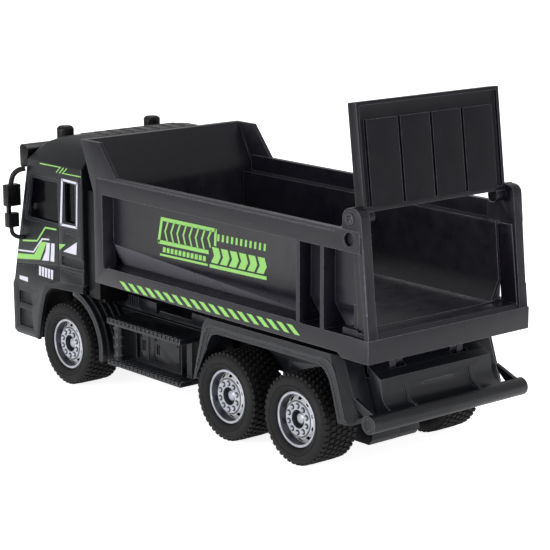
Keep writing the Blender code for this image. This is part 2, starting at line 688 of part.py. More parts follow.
def mirrors(black):
    """Two stacked housings on a bent arm at each front corner of the cab."""
    for side_name, side in (("left", 1), ("right", -1)):
        upper = block((side * 41.9, side * 49.0), (-112.0, -108.0), (75.0, 84.6))
        lower = block((side * 42.8, side * 48.6), (-112.0, -108.4), (65.4, 72.0))
        link = block((side * 46.4, side * 48.0), (-111.0, -109.4), (71.0, 76.0))
        arm = [(side * 41.7, -105.2, 91.8), (side * 43.8, -107.0, 91.0),
               (side * 45.6, -108.6, 88.6), (side * 46.2, -109.8, 84.0)]
        foot = [(side * 46.2, -110.2, 66.4), (side * 45.8, -110.0, 62.6),
                (side * 43.8, -109.4, 61.0), (side * 42.0, -108.4, 60.6)]
        piece(f"mirror_{side_name}", upper, black,
              add=[lower, link, tube(arm, 1.15), tube(foot, 0.95)])


def air_intake(plastic):
    """The intake stack that stands between the cab and the bed."""
    stack = block((27.0, 38.6), (-62.4, -54.4), (41.0, 87.6))
    foot = block((14.0, 36.0), (-62.4, -54.4), (FRAME_TOP_Z + 1.2, 44.0))
    piece("air_intake", stack, plastic, add=[foot])


# ---- bed and tailgate ---------------------------------------------------

def bed_section():
    """Half of the tub's cross-section, from the middle of the floor outwards."""
    return [(30.7, FLOOR_TOP_Z), (WALL_INNER_X, 67.3), (WALL_INNER_X, 89.5),
            (RAIL_INNER_X + 0.3, 89.5), (RAIL_INNER_X, RAIL_TOP_Z),
            (BED_HALF_WIDTH, RAIL_TOP_Z), (BED_HALF_WIDTH, RAIL_BASE_Z),
            (WALL_OUTER_X, RAIL_BASE_Z), (WALL_OUTER_X, 66.9), (31.2, SILL_TOP_Z),
            (BED_HALF_WIDTH, SILL_TOP_Z), (BED_HALF_WIDTH, SILL_BASE_Z),
            (41.2, SILL_BASE_Z), (41.2, FLOOR_BASE_Z)]


def bed_front():
    """Front wall with the headboard that leans over the cab, and its wings."""
    top_y, top_z = HEADBOARD_TOP
    wall = [(BED_FRONT_Y, SILL_BASE_Z), (BED_FRONT_Y, 88.8), (top_y, top_z),
            (top_y + 3.0, top_z), (-48.8, 92.6), (-48.8, SILL_BASE_Z)]
    shapes = [plate("X", -42.0, 42.0, wall)]
    wing = [(top_y, top_z), (BED_FRONT_Y, RAIL_BASE_Z), (-35.0, RAIL_BASE_Z),
            (-35.0, RAIL_TOP_Z - 0.6), (-36.0, RAIL_TOP_Z), (-47.6, top_z)]
    for side in (1, -1):
        shapes.append(plate("X", side * 40.9, side * BED_HALF_WIDTH, wing))
        shapes.append(block((side * 36.2, side * BED_HALF_WIDTH), (BED_FRONT_Y, BED_PANEL_FRONT_Y),
                            (SILL_BASE_Z, 89.0)))
    return shapes


def bed_fins():
    """Two upright fins on each side between the sill and the rail."""
    outline = [(36.2, 89.0), (36.2, 67.1), (30.8, 56.8), (30.8, 56.2), (BED_HALF_WIDTH, 56.2),
               (BED_HALF_WIDTH, 89.0)]
    shapes = []
    for y in (77.0, 90.4):
        shapes.append(plate("Y", y, y + 1.8, outline))
        shapes.append(plate("Y", y, y + 1.8, flipped(outline)))
    return shapes


def bed_tail():
    """Rear beam, sill and the two posts that carry the tailgate's lugs."""
    beam = [(97.6, 57.0), (97.6, 51.0), (98.3, 51.0), (102.3, 48.2), (BED_REAR_Y, 48.2),
            (BED_REAR_Y, 56.8), (100.0, 57.0)]
    sill = [(100.0, 56.0), (BED_REAR_Y - 0.4, 56.0), (BED_REAR_Y - 0.4, 56.8), (114.6, 58.4),
            (108.4, 58.4), (107.7, FLOOR_TOP_Z), (100.0, FLOOR_TOP_Z)]
    shapes = [plate("X", -BED_HALF_WIDTH, BED_HALF_WIDTH, beam), plate("X", -40.0, 40.0, sill)]
    post = [(110.0, 90.0), (114.0, 57.7), (114.0, 55.0), (BED_REAR_Y - 0.2, 55.0),
            (BED_REAR_Y - 0.2, 56.5), (115.6, 62.0), (113.8, 78.0), (112.6, 90.0),
            (111.9, 96.5)]
    post += arc((108.0, 100.6), 3.5, 2.0, 90.0, 5)
    post += [(105.7, 104.2), (101.6, 99.0), (101.4, 90.0)]
    for side in (1, -1):
        outer = side * (BED_HALF_WIDTH - 0.5)
        inner = side * POST_INNER_X
        shapes.append(plate("X", inner, outer, post))
        shapes.append(disc("X", GATE_AXIS, GATE_LUG_RADIUS, inner, outer))
        shapes.append(block((inner, side * BED_HALF_WIDTH), (98.0, 111.4),
                            (RAIL_BASE_Z, RAIL_TOP_Z)))
        panel = [(103.2, RAIL_BASE_Z + 0.5), (106.9, 57.5), (115.0, 57.5), (111.0, 89.0)]
        shapes.append(plate("X", side * (WALL_OUTER_X + 0.5), side * (WALL_OUTER_X + 1.5), panel))
        corner = [(30.9, 56.6), (36.6, 66.9), (WALL_OUTER_X + 1.0, 68.0),
                  (WALL_OUTER_X + 1.0, 56.6)]
        corner = [(side * x, z) for x, z in corner]
        shapes.append(plate("Y", 103.6, 105.6, corner))
    return shapes


def bed_ribs():
    """Two ribs under the floor that end in the lugs of the tipping axis."""
    outline = [(-45.0, 56.0), (-45.0, 44.0), (-43.0, 42.4), (94.0, 42.4)]
    outline += arc(BED_AXIS, LUG_RADIUS, 205.0, 360.0, 10)
    outline.append((BED_AXIS[0] + LUG_RADIUS, 56.0))
    shapes = []
    for side in (1, -1):
        shapes.append(plate("X", side * 12.8, side * 15.8, outline))
    return shapes


def dump_body(plastic, joint):
    half = bed_section()
    tub = plate("Y", BED_FRONT_Y + 4.0, 107.8, half + flipped(half))
    gate_room = [(BED_WALL_END_Y, 98.0), (BED_WALL_END_Y, 88.0), (107.5, 59.3), (112.0, 59.3),
                 (112.0, 98.0)]
    cuts = [plate("X", -39.6, 39.6, gate_room),
            block((-41.0, 41.0), (103.6, 115.0), (45.0, FLOOR_BASE_Z)),
            block((-20.4, -12.0), (92.0, 104.0), (45.0, FLOOR_BASE_Z)),
            block((12.0, 20.4), (92.0, 104.0), (45.0, FLOOR_BASE_Z)),
            disc("X", BED_AXIS, BED_PIN_RADIUS + GAP, -22.0, 22.0, 14)]
    tub_shapes = bed_front() + bed_fins()
    piece("dump_body", tub, plastic, joint)
    made = bpy.data.objects["dump_body"]
    steps = [("UNION", shape) for shape in tub_shapes]
    steps += [("DIFFERENCE", shape) for shape in cuts[:1]]
    steps += [("UNION", shape) for shape in bed_tail()]
    steps += [("DIFFERENCE", shape) for shape in cuts[1:4]]
    steps += [("UNION", shape) for shape in bed_ribs()]
    steps += [("DIFFERENCE", cuts[4])]
    for side in (1, -1):
        seat = disc("X", GATE_AXIS, 2.6, side * 41.3, side * 44.0, 16)
        hole = disc("X", GATE_AXIS, GATE_PIN_RADIUS + GAP, side * 37.0, side * 44.0, 12)
        dimple = disc("X", (GATE_AXIS[0], 92.9), 2.6, side * 40.6, side * 44.0, 16)
        steps += [("DIFFERENCE", shape) for shape in (seat, hole, dimple)]
    for index, (operation, shape) in enumerate(steps):
        tool = link_mesh(f"dump_body_step_{index}", shape, joint)
        tool.hide_render = True
        tool.display_type = "WIRE"
        change = made.modifiers.new(f"step_{index}", "BOOLEAN")
        change.operation = operation
        change.object = tool


def tailgate(plastic, joint):
    """The gate, modelled upright over its hinge line and then leaned forward."""
    half = GATE_HALF_WIDTH
    back = GATE_THICKNESS / 2.0
    y0, z0 = GATE_AXIS
    slab = block((-half, half), (y0 - back, y0 + back), (z0 + GATE_BASE, z0 + GATE_LENGTH))
    bosses = []
    bores = []
    for side in (1, -1):
        bosses.append(disc("X", GATE_AXIS, 2.5, side * 32.0, side * (half + GAP), 16))
        bores.append(disc("X", GATE_AXIS, GATE_PIN_RADIUS + GAP, side * 33.0, side * 40.0, 12))
    face = (y0 + back - 1.2, y0 + back + 1.0)
    border = 1.3
    ledge = 4.2
    panel_top = z0 + GATE_LENGTH - 6.6
    channels = [block((half - ledge, half - border), face, (z0 + 3.4, z0 + GATE_LENGTH - border)),
                block((border - half, ledge - half), face, (z0 + 3.4, z0 + GATE_LENGTH - border)),
                block((border - half + 0.05, half - border - 0.05), face,
                      (panel_top, z0 + GATE_LENGTH - border))]
    for index in range(3):
        x = (half - ledge) * (index - 1) / 2.0
        channels.append(block((x - 0.65, x + 0.65), face, (z0 + 3.4, panel_top + 0.6)))
    made = piece("tailgate", slab, plastic, joint, add=bosses, cut=channels + bores)
    made.rotation_euler = (GATE_LEAN, 0.0, 0.0)
    for tool in bpy.data.objects:
        if tool.name.startswith("tailgate_"):
            tool.rotation_euler = (GATE_LEAN, 0.0, 0.0)


def pins(plastic, steel, bed_joint):
    end = 20.2
    pin = disc("X", BED_AXIS, BED_PIN_RADIUS, -end, end, 14)
    smooth(piece("bed_hinge_pin", pin, steel))
    for side_name, side in (("left", 1), ("right", -1)):
        profile = [(0.0, 42.3), (1.9, 42.3), (2.3, 41.9), (2.3, 41.6), (GATE_PIN_RADIUS, 41.6),
                   (GATE_PIN_RADIUS, 33.4), (0.0, 33.4)]
        pin = turned("X", GATE_AXIS, on_side(profile, side), 12)
        smooth(piece(f"gate_pin_{side_name}", pin, plastic, bed_joint))


# ---- the whole truck ----------------------------------------------------

def build():
    for item in list(bpy.data.objects):
        bpy.data.objects.remove(item, do_unlink=True)

    charcoal = material("charcoal_plastic", (0.052, 0.055, 0.062), 0.42)
    black = material("black_plastic", (0.012, 0.012, 0.013), 0.45)
    rubber = material("tyre_rubber", (0.018, 0.017, 0.017), 0.85)
    silver = material("silver_plastic", (0.62, 0.63, 0.65), 0.3, 0.75)
    glass = material("smoked_glass", (0.02, 0.02, 0.025), 0.12)
    clear = material("lamp_lens", (0.75, 0.76, 0.78), 0.15)
    nylon = material("white_nylon", (0.8, 0.79, 0.74), 0.5)
    brass = material("brass", (0.6, 0.44, 0.18), 0.35, 1.0)
    steel = material("steel", (0.45, 0.45, 0.46), 0.35, 1.0)

    axle_joints = {}
    for name, y in AXLE_Y.items():
        axle_joints[name] = joint_empty(f"{name}_axle_joint", (0.0, y, AXLE_Z))
        wheelset(name, axle_joints[name], rubber, silver, steel)
    idler_joint = joint_empty("idler_joint", (0.0, *IDLER_AXIS))
    flywheel_joint = joint_empty("flywheel_joint", (0.0, *FLYWHEEL_AXIS))
    friction_drive(axle_joints["rear"], idler_joint, flywheel_joint, nylon, brass, steel)
    gearbox(charcoal)

    chassis_frame(charcoal)
    axle_keepers(charcoal, steel)
    front_mudguards(charcoal)
    step_boxes(charcoal)
    rear_fenders(charcoal)
    rear_bumper(charcoal)

    cab_shell(charcoal)
    cab_windows(glass)
    cab_interior(black, steel)
    cab_trim(charcoal, clear, black)
    mirrors(black)
    air_intake(black)

    bed_joint = joint_empty("bed_joint", (0.0, *BED_AXIS))
    gate_joint = joint_empty("gate_joint", (0.0, *GATE_AXIS))
    dump_body(charcoal, bed_joint)
    tailgate(charcoal, gate_joint)
    pins(charcoal, steel, bed_joint)


build()
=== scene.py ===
"""The look of the toy dump truck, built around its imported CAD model.

Sizes in this file are in millimetres unless a name ends in _M; shapes are scaled
to metres when they become meshes.  +X is the truck's left, -Y its front.
"""
import json
import math

import bmesh
import bpy
from mathutils import Matrix, Vector

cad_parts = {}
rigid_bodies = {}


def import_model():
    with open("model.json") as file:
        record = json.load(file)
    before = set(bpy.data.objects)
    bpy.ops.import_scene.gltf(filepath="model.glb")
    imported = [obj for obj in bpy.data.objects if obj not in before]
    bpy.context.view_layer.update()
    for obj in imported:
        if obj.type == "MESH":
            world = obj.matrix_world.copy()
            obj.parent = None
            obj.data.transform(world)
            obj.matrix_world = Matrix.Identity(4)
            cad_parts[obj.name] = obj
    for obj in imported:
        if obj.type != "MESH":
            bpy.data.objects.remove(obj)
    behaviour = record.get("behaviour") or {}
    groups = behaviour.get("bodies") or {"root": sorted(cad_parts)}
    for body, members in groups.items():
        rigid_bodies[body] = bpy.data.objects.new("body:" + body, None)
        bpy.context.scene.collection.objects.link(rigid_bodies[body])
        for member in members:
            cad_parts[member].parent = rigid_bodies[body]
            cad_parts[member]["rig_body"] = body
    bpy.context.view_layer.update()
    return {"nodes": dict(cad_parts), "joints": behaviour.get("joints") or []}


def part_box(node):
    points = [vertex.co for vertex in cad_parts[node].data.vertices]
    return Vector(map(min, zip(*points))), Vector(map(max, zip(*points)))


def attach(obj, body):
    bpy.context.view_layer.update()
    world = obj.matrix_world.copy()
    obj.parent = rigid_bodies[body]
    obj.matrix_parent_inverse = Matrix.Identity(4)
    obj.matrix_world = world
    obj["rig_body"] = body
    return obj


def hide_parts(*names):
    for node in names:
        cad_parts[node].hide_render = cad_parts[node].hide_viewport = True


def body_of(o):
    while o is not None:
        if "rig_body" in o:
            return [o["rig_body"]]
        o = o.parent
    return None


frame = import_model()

MM = 0.001
NODES = frame["nodes"]


def node_box(name):
    """A CAD node's lowest and highest corners in millimetres."""
    low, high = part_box(name)
    return [value / MM for value in low], [value / MM for value in high]


def joint_point(name):
    """A joint's y and z in millimetres."""
    for joint in frame["joints"]:
        if joint["name"] == name:
            return joint["pos_m"][1] / MM, joint["pos_m"][2] / MM
    raise KeyError(name)


# ---- materials ----------------------------------------------------------

def srgb(red, green, blue):
    """A linear colour from 0-255 display values."""
    return tuple((value / 255.0) ** 2.2 for value in (red, green, blue))


class Nodes:
    """A short way to add and join shader nodes."""

    def __init__(self, name):
        self.material = bpy.data.materials.new(name)
        self.material.use_nodes = True
        self.tree = self.material.node_tree
        self.shader = self.tree.nodes["Principled BSDF"]
        self.where = self.add("ShaderNodeTexCoord").outputs["Object"]

    def add(self, kind, **settings):
        node = self.tree.nodes.new(kind)
        for key, value in settings.items():
            if hasattr(node, key):
                setattr(node, key, value)
            else:
                node.inputs[key].default_value = value
        return node

    def link(self, source, target):
        self.tree.links.new(source, target)

    def noise(self, scale, detail=3.0, stretch=None):
        """Noise in the object's own metres; `scale` is features per metre."""
        node = self.add("ShaderNodeTexNoise", Scale=scale, Detail=detail)
        place = self.where
        if stretch:
            mapping = self.add("ShaderNodeMapping")
            mapping.inputs["Scale"].default_value = stretch
            self.link(self.where, mapping.inputs["Vector"])
            place = mapping.outputs["Vector"]
        self.link(place, node.inputs["Vector"])
        return node.outputs["Fac"]

    def spread(self, source, low, high, from_low=0.3, from_high=0.7):
        """A value taken from one range to another."""
        node = self.add("ShaderNodeMapRange")
        node.inputs["From Min"].default_value = from_low
        node.inputs["From Max"].default_value = from_high
        node.inputs["To Min"].default_value = low
        node.inputs["To Max"].default_value = high
        self.link(source, node.inputs["Value"])
        return node.outputs["Result"]

    def mix(self, factor, first, second):
        """A blend of two colours, each a tuple or another node's output."""
        node = self.add("ShaderNodeMix", data_type="RGBA")
        self.link(factor, node.inputs["Factor"])
        sockets = {item.name: item for item in node.inputs if item.type == "RGBA"}
        for value, key in ((first, "A"), (second, "B")):
            if isinstance(value, tuple):
                sockets[key].default_value = (*value, 1.0)
            else:
                self.link(value, sockets[key])
        return [item for item in node.outputs if item.type == "RGBA"][0]

    def product(self, first, second):
        node = self.add("ShaderNodeMath", operation="MULTIPLY")
        self.link(first, node.inputs[0])
        self.link(second, node.inputs[1])
        return node.outputs["Value"]

    def edges(self, width_mm):
        """1 on convex and concave edges, 0 on flats."""
        bevel = self.add("ShaderNodeBevel", samples=4, Radius=width_mm * MM)
        geometry = self.add("ShaderNodeNewGeometry")
        dot = self.add("ShaderNodeVectorMath", operation="DOT_PRODUCT")
        self.link(bevel.outputs["Normal"], dot.inputs[0])
        self.link(geometry.outputs["Normal"], dot.inputs[1])
        return self.spread(dot.outputs["Value"], 1.0, 0.0, 0.75, 0.995)

    def painted_floor_light_slopes(self):
        """One on side faces that lean outwards as they rise, none elsewhere: where the painted
        floor light goes.
        """
        coordinates = self.add("ShaderNodeTexCoord")
        parts = self.add("ShaderNodeSeparateXYZ")
        self.link(coordinates.outputs["Normal"], parts.inputs["Vector"])
        sideways = self.add("ShaderNodeMath", operation="ABSOLUTE")
        self.link(parts.outputs["X"], sideways.inputs[0])
        return self.product(self.spread(parts.outputs["Z"], 1.0, 0.0, -0.42, -0.3),
                            self.spread(sideways.outputs["Value"], 0.0, 1.0, 0.75, 0.85))

    def bump(self, heights, strength, depth_mm):
        node = self.add("ShaderNodeBump", Strength=strength, Distance=depth_mm * MM)
        self.link(heights, node.inputs["Height"])
        self.link(node.outputs["Normal"], self.shader.inputs["Normal"])

    def set(self, **values):
        """Inputs of the main shader by name, with underscores for spaces."""
        for key, value in values.items():
            key = key.replace("_", " ")
            if isinstance(value, tuple):
                value = (*value, 1.0)
            self.shader.inputs[key].default_value = value


# Noise scales in features per metre, a depth and a width in millimetres.
DRIFT = 70.0
PATCHES = 160.0
WEAR_AND_HIGHLIGHT_BREAKS = 900.0
GRAIN = 4200.0
GRAIN_DEPTH = 0.04
WEAR_AND_HIGHLIGHT_WIDTH = 0.35


def shaded(colour, factor):
    return tuple(value * factor for value in colour)


def plastic(name, colour, roughness, grain=0.25, edge_wear_and_highlight=None, painted_floor_light=None, specular=0.42):
    """Moulded plastic: slow colour drift, patchy gloss, fine grain, and paler edges that are
    partly wear and partly a painted highlight.

    The colour for sloped side faces is painted light: a paler tone that stands in for the light
    they take from the floor below.
    """
    made = Nodes(name)
    slow = made.noise(DRIFT, 4.0)
    tint = made.mix(made.spread(slow, 0.0, 1.0), shaded(colour, 0.86), shaded(colour, 1.14))
    # Paler edges, broken up by noise: partly wear, partly a painted highlight where light catches
    # the edges.
    if edge_wear_and_highlight:
        wear_and_highlight_breaks = made.noise(WEAR_AND_HIGHLIGHT_BREAKS, 2.0)
        worn_and_lit_edges = made.product(made.edges(WEAR_AND_HIGHLIGHT_WIDTH), made.spread(wear_and_highlight_breaks, 0.35, 1.0))
        tint = made.mix(worn_and_lit_edges, tint, edge_wear_and_highlight)
    # Sloped side faces get a paler tone: painted light from the floor.
    if painted_floor_light:
        tint = made.mix(made.painted_floor_light_slopes(), tint, painted_floor_light)
    made.link(tint, made.shader.inputs["Base Color"])
    patches = made.noise(PATCHES, 5.0)
    made.link(made.spread(patches, roughness - 0.05, roughness + 0.08),
              made.shader.inputs["Roughness"])
    made.bump(made.noise(GRAIN, 2.0), grain, GRAIN_DEPTH)
    made.set(Specular_IOR_Level=specular)
    return made.material


def rubber_material():
    """Soft black rubber with paler dust in patches."""
    made = Nodes("tyre_rubber")
    slow = made.noise(110.0, 4.0)
    tint = made.mix(made.spread(slow, 0.0, 1.0), srgb(16, 15, 16), srgb(26, 25, 27))
    dust = made.noise(700.0, 5.0)
    tint = made.mix(made.spread(dust, 0.0, 0.35, 0.5, 0.8), tint, srgb(44, 41, 41))
    made.link(tint, made.shader.inputs["Base Color"])
    made.link(made.spread(slow, 0.62, 0.82), made.shader.inputs["Roughness"])
    made.bump(made.noise(2600.0, 4.0), 0.35, 0.05)
    made.set(Specular_IOR_Level=0.35)
    return made.material


def silver_material(name, darker, lighter):
    """Silver paint on plastic."""
    made = Nodes(name)
    slow = made.noise(260.0, 3.0)
    tint = made.mix(made.spread(slow, 0.0, 1.0), darker, lighter)
    made.link(tint, made.shader.inputs["Base Color"])
    made.link(made.spread(made.noise(900.0, 3.0), 0.26, 0.42), made.shader.inputs["Roughness"])
    made.bump(made.noise(5200.0, 2.0), 0.2, 0.03)
    made.set(Metallic=0.45)
    return made.material


def print_material(name, colour):
    """Printed ink: flat, with tiny thin spots that let the plastic through."""
    made = Nodes(name)
    speckle = made.noise(1500.0, 4.0)
    tint = made.mix(made.spread(speckle, 0.0, 0.5, 0.55, 0.85), colour, shaded(colour, 0.45))
    slow = made.noise(240.0, 2.0)
    tint = made.mix(made.spread(slow, 0.0, 0.25), tint, tuple(min(value * 1.15, 1.0)
                                                             for value in colour))
    made.link(tint, made.shader.inputs["Base Color"])
    made.link(made.spread(speckle, 0.34, 0.5), made.shader.inputs["Roughness"])
    made.bump(speckle, 0.1, 0.02)
    return made.material


def metal_material(name, colour, roughness):
    """Turned metal, brushed around the X axis."""
    made = Nodes(name)
    brushed = made.noise(900.0, 3.0, (1.0, 9.0, 9.0))
    made.link(made.mix(made.spread(brushed, 0.0, 1.0), shaded(colour, 0.8), colour),
              made.shader.inputs["Base Color"])
    made.link(made.spread(brushed, roughness - 0.08, roughness + 0.1),
              made.shader.inputs["Roughness"])
    made.bump(brushed, 0.08, 0.02)
    made.set(Metallic=1.0)
    return made.material


def glass_material():
    """Dark glazing that lets a little of the cab's inside through."""
    made = Nodes("smoked_glass")
    smear = made.noise(180.0, 4.0)
    made.link(made.mix(made.spread(smear, 0.0, 1.0), srgb(5, 5, 9), srgb(11, 11, 17)),
              made.shader.inputs["Base Color"])
    made.link(made.spread(smear, 0.08, 0.2), made.shader.inputs["Roughness"])
    made.set(Alpha=0.86, Specular_IOR_Level=0.12)
    return made.material


def lens_material():
    """A pale lamp lens with faint upright bands."""
    made = Nodes("lamp_lens")
    flutes = made.noise(300.0, 1.0, (8.0, 1.0, 1.0))
    made.link(made.mix(made.spread(flutes, 0.0, 1.0), srgb(196, 200, 210), srgb(236, 238, 244)),
              made.shader.inputs["Base Color"])
    made.link(made.spread(flutes, 0.08, 0.2), made.shader.inputs["Roughness"])
    made.set(Coat_Weight=0.5, Coat_Roughness=0.05)
    return made.material


# Paler edge colours, here and in the plastics below: partly wear, partly a painted highlight along
# the edges.
PALE_EDGE_WEAR_AND_HIGHLIGHT = srgb(122, 124, 132)

CHARCOAL = plastic("charcoal_plastic", srgb(25, 26, 30), 0.34, 0.25, PALE_EDGE_WEAR_AND_HIGHLIGHT)
# The bed's lower sloped faces get a paler tone: painted light from the floor.
BED = plastic("bed_plastic", srgb(24, 22, 30), 0.31, 0.22, srgb(128, 129, 138),
              painted_floor_light=srgb(96, 95, 102))
# A darker copy of the bed plastic: painted shade on the rear-facing gate.
SHADED_GATE = plastic("gate_plastic_painted_shade", srgb(18, 16, 23), 0.34, 0.22, srgb(116, 117, 126), specular=0.28)
# A darker grey on the rim's grooves, hub recess and barrel wall.
DARK = plastic("rim_dark_grey", srgb(52, 54, 60), 0.35)
CAB_PLASTIC = plastic("cab_plastic", srgb(22, 24, 27), 0.34, 0.25, PALE_EDGE_WEAR_AND_HIGHLIGHT, specular=0.31)
BLACK = plastic("black_plastic", srgb(9, 9, 10), 0.4, 0.2, srgb(36, 36, 40), specular=0.26)
GLOSS = plastic("mirror_gloss", srgb(22, 22, 26), 0.12, 0.05)
RUBBER = rubber_material()
SILVER = silver_material("silver_plastic", srgb(158, 160, 170), srgb(188, 190, 198))
# A lighter copy of the silver for the rim's cone: a painted highlight.
PAINTED_LIGHT_SILVER = silver_material("silver_cone_painted_light", srgb(222, 222, 230), srgb(246, 246, 250))
GREEN = print_material("green_print", srgb(132, 190, 96))
WHITE = print_material("white_print", srgb(200, 200, 214))
GLASS = glass_material()
LENS = lens_material()
NYLON = plastic("white_nylon", srgb(226, 223, 210), 0.45)
STEEL = metal_material("steel", srgb(176, 176, 180), 0.32)
BRASS = metal_material("brass", srgb(200, 168, 96), 0.3)


# ---- plain shapes, as bmeshes in millimetres ------------------------------

AXES = {"X": (1, 2), "Y": (0, 2), "Z": (0, 1)}    # the two axes of a pair, by plate axis
FULL_TURN = 2.0 * math.pi




def place(axis, level, pair):
    """A point from its level along an axis and its pair of other coordinates."""
    point = [level, level, level]
    point[AXES[axis][0]] = pair[0]
    point[AXES[axis][1]] = pair[1]
    return Vector(point)


def plate(axis, low, high, outline):
    """An outline extruded along an axis."""
    shape = bmesh.new()
    corners = [shape.verts.new(place(axis, low, pair)) for pair in outline]
    face = shape.faces.new(corners)
    grown = bmesh.ops.extrude_face_region(shape, geom=[face])
    moved = [item for item in grown["geom"] if isinstance(item, bmesh.types.BMVert)]
    bmesh.ops.translate(shape, verts=moved, vec=place(axis, high - low, (0.0, 0.0)))
    bmesh.ops.recalc_face_normals(shape, faces=shape.faces)
    return shape


def block(x, y, z):
    """A box from its two ends along each axis."""
    return plate("Z", min(z), max(z), [(x[0], y[0]), (x[1], y[0]), (x[1], y[1]), (x[0], y[1])])


def arc(centre, radius, start, end, steps):
    """Points on a circle between two angles in degrees."""
    points = []
    for index in range(steps + 1):
        angle = math.radians(start + (end - start) * index / steps)
        points.append((centre[0] + radius * math.cos(angle), centre[1] + radius * math.sin(angle)))
    return points


def soft_corners(outline, radius, steps=4):
    """An outline whose corners are replaced by arcs."""
    points = []
    count = len(outline)
    for index, corner in enumerate(outline):
        here = Vector(corner)
        before = Vector(outline[index - 1]) - here
        after = Vector(outline[(index + 1) % count]) - here
        reach = min(radius, before.length * 0.45, after.length * 0.45)
        start = here + before.normalized() * reach
        end = here + after.normalized() * reach
        for step in range(steps + 1):
            share = step / steps
            point = (start * (1 - share) ** 2 + here * 2 * share * (1 - share)
                     + end * share ** 2)
            points.append((point.x, point.y))
    return points


def disc(axis, centre, radius, low, high, steps=32):
    return plate(axis, low, high, arc(centre, radius, 0.0, 360.0, steps)[:-1])


def turned(axis, centre, profile, steps, kinds=None):
    """A closed profile of (radius, level) turned around an axis.

    `kinds` gives the material index of the band that starts at each profile point.
    """
    shape = bmesh.new()
    rings = []
    for radius, level in profile:
        count = 1 if radius == 0.0 else steps
        ring = []
        for index in range(count):
            angle = FULL_TURN * (index + 0.5) / steps
            pair = (centre[0] + radius * math.cos(angle), centre[1] + radius * math.sin(angle))
            ring.append(shape.verts.new(place(axis, level, pair)))
        rings.append(ring)
    for band, (here, there) in enumerate(zip(rings, rings[1:] + rings[:1])):
        if len(here) == 1 and len(there) == 1:
            continue
        for index in range(steps):
            after = (index + 1) % steps
            corners = [here[index % len(here)], here[after % len(here)],
                       there[after % len(there)], there[index % len(there)]]
            face = shape.faces.new(list(dict.fromkeys(corners)))
            face.material_index = kinds[band] if kinds else 0
    bmesh.ops.recalc_face_normals(shape, faces=shape.faces)
    return shape


TUBE_SPANS = 6


def tube(points, radius, steps=16):
    """A round bar along a smooth path through the points."""
    path = []
    count = len(points)
    vectors = [Vector(point) for point in points]
    for index in range(count - 1):
        before = vectors[max(index - 1, 0)]
        start = vectors[index]
        end = vectors[index + 1]
        after = vectors[min(index + 2, count - 1)]
        for step in range(TUBE_SPANS):
            share = step / TUBE_SPANS
            path.append(0.5 * ((2 * start) + (end - before) * share
                               + (2 * before - 5 * start + 4 * end - after) * share ** 2
                               + (3 * start - before - 3 * end + after) * share ** 3))
    path.append(vectors[-1])
    shape = bmesh.new()
    rings = []
    for index, point in enumerate(path):
        ahead = path[min(index + 1, len(path) - 1)]
        behind = path[max(index - 1, 0)]
        tangent = (ahead - behind).normalized()
        side = tangent.cross(Vector((0.0, 1.0, 0.0))).normalized()
        up = side.cross(tangent)
        ring = []
        for step in range(steps):
            angle = FULL_TURN * step / steps
            ring.append(shape.verts.new(point + side * (radius * math.cos(angle))
                                        + up * (radius * math.sin(angle))))
        rings.append(ring)
    for here, there in zip(rings, rings[1:]):
        for step in range(steps):
            after = (step + 1) % steps
            shape.faces.new([here[step], here[after], there[after], there[step]])
    shape.faces.new(rings[0])
    shape.faces.new(rings[-1])
    bmesh.ops.recalc_face_normals(shape, faces=shape.faces)
    return shape


def joined(shapes):
    """Several bmeshes as one, each keeping its own closed surface."""
    whole = bmesh.new()
    holder = bpy.data.meshes.new("holder")
    for shape in shapes:
        shape.to_mesh(holder)
        shape.free()
        whole.from_mesh(holder)
    bpy.data.meshes.remove(holder)
    return whole


MITRE_LIMIT = 0.4


def band(path, width):
    """The outline of a band of constant width along a path of pairs."""
    left = []
    right = []
    vectors = [Vector(point) for point in path]
    for index, here in enumerate(vectors):
        ways = []
        if index:
            ways.append((here - vectors[index - 1]).normalized())
        if index + 1 < len(vectors):
            ways.append((vectors[index + 1] - here).normalized())
        normals = [Vector((-way.y, way.x)) for way in ways]
        mitre = sum(normals, Vector((0.0, 0.0))).normalized()
        reach = width / 2.0 / max(mitre.dot(normals[0]), MITRE_LIMIT)
        left.append(tuple(here + mitre * reach))
        right.append(tuple(here - mitre * reach))
    return left + right[::-1]


def ribbon(path, width, axis, low, high):
    """A flat band along a path, as a thin plate."""
    return plate(axis, low, high, band(path, width))


# ---- objects ------------------------------------------------------------

WELD_REACH = 1e-6                       # metres
ORDER_DIGITS = 7                        # a tenth of a micrometre
FLAT_ANGLE = math.radians(0.6)
EDGE_ANGLE = math.radians(32.0)
SHARP_ANGLE = math.radians(35.0)


def round_edges(item, edge, segments, keep_materials=False):
    """Flat areas merged into single faces, then bevelled edges."""
    flats = item.modifiers.new("flats", "DECIMATE")
    flats.decimate_type = "DISSOLVE"
    flats.angle_limit = FLAT_ANGLE
    if keep_materials:
        flats.delimit = {"MATERIAL"}
    bevel = item.modifiers.new("edges", "BEVEL")
    bevel.width = edge * MM
    bevel.segments = segments
    bevel.limit_method = "ANGLE"
    bevel.angle_limit = EDGE_ANGLE
    bevel.use_clamp_overlap = True
    return bevel


def settle(item):
    """The piece's mesh with its modifiers applied."""
    bpy.context.view_layer.update()
    graph = bpy.context.evaluated_depsgraph_get()
    return bpy.data.meshes.new_from_object(item.evaluated_get(graph))


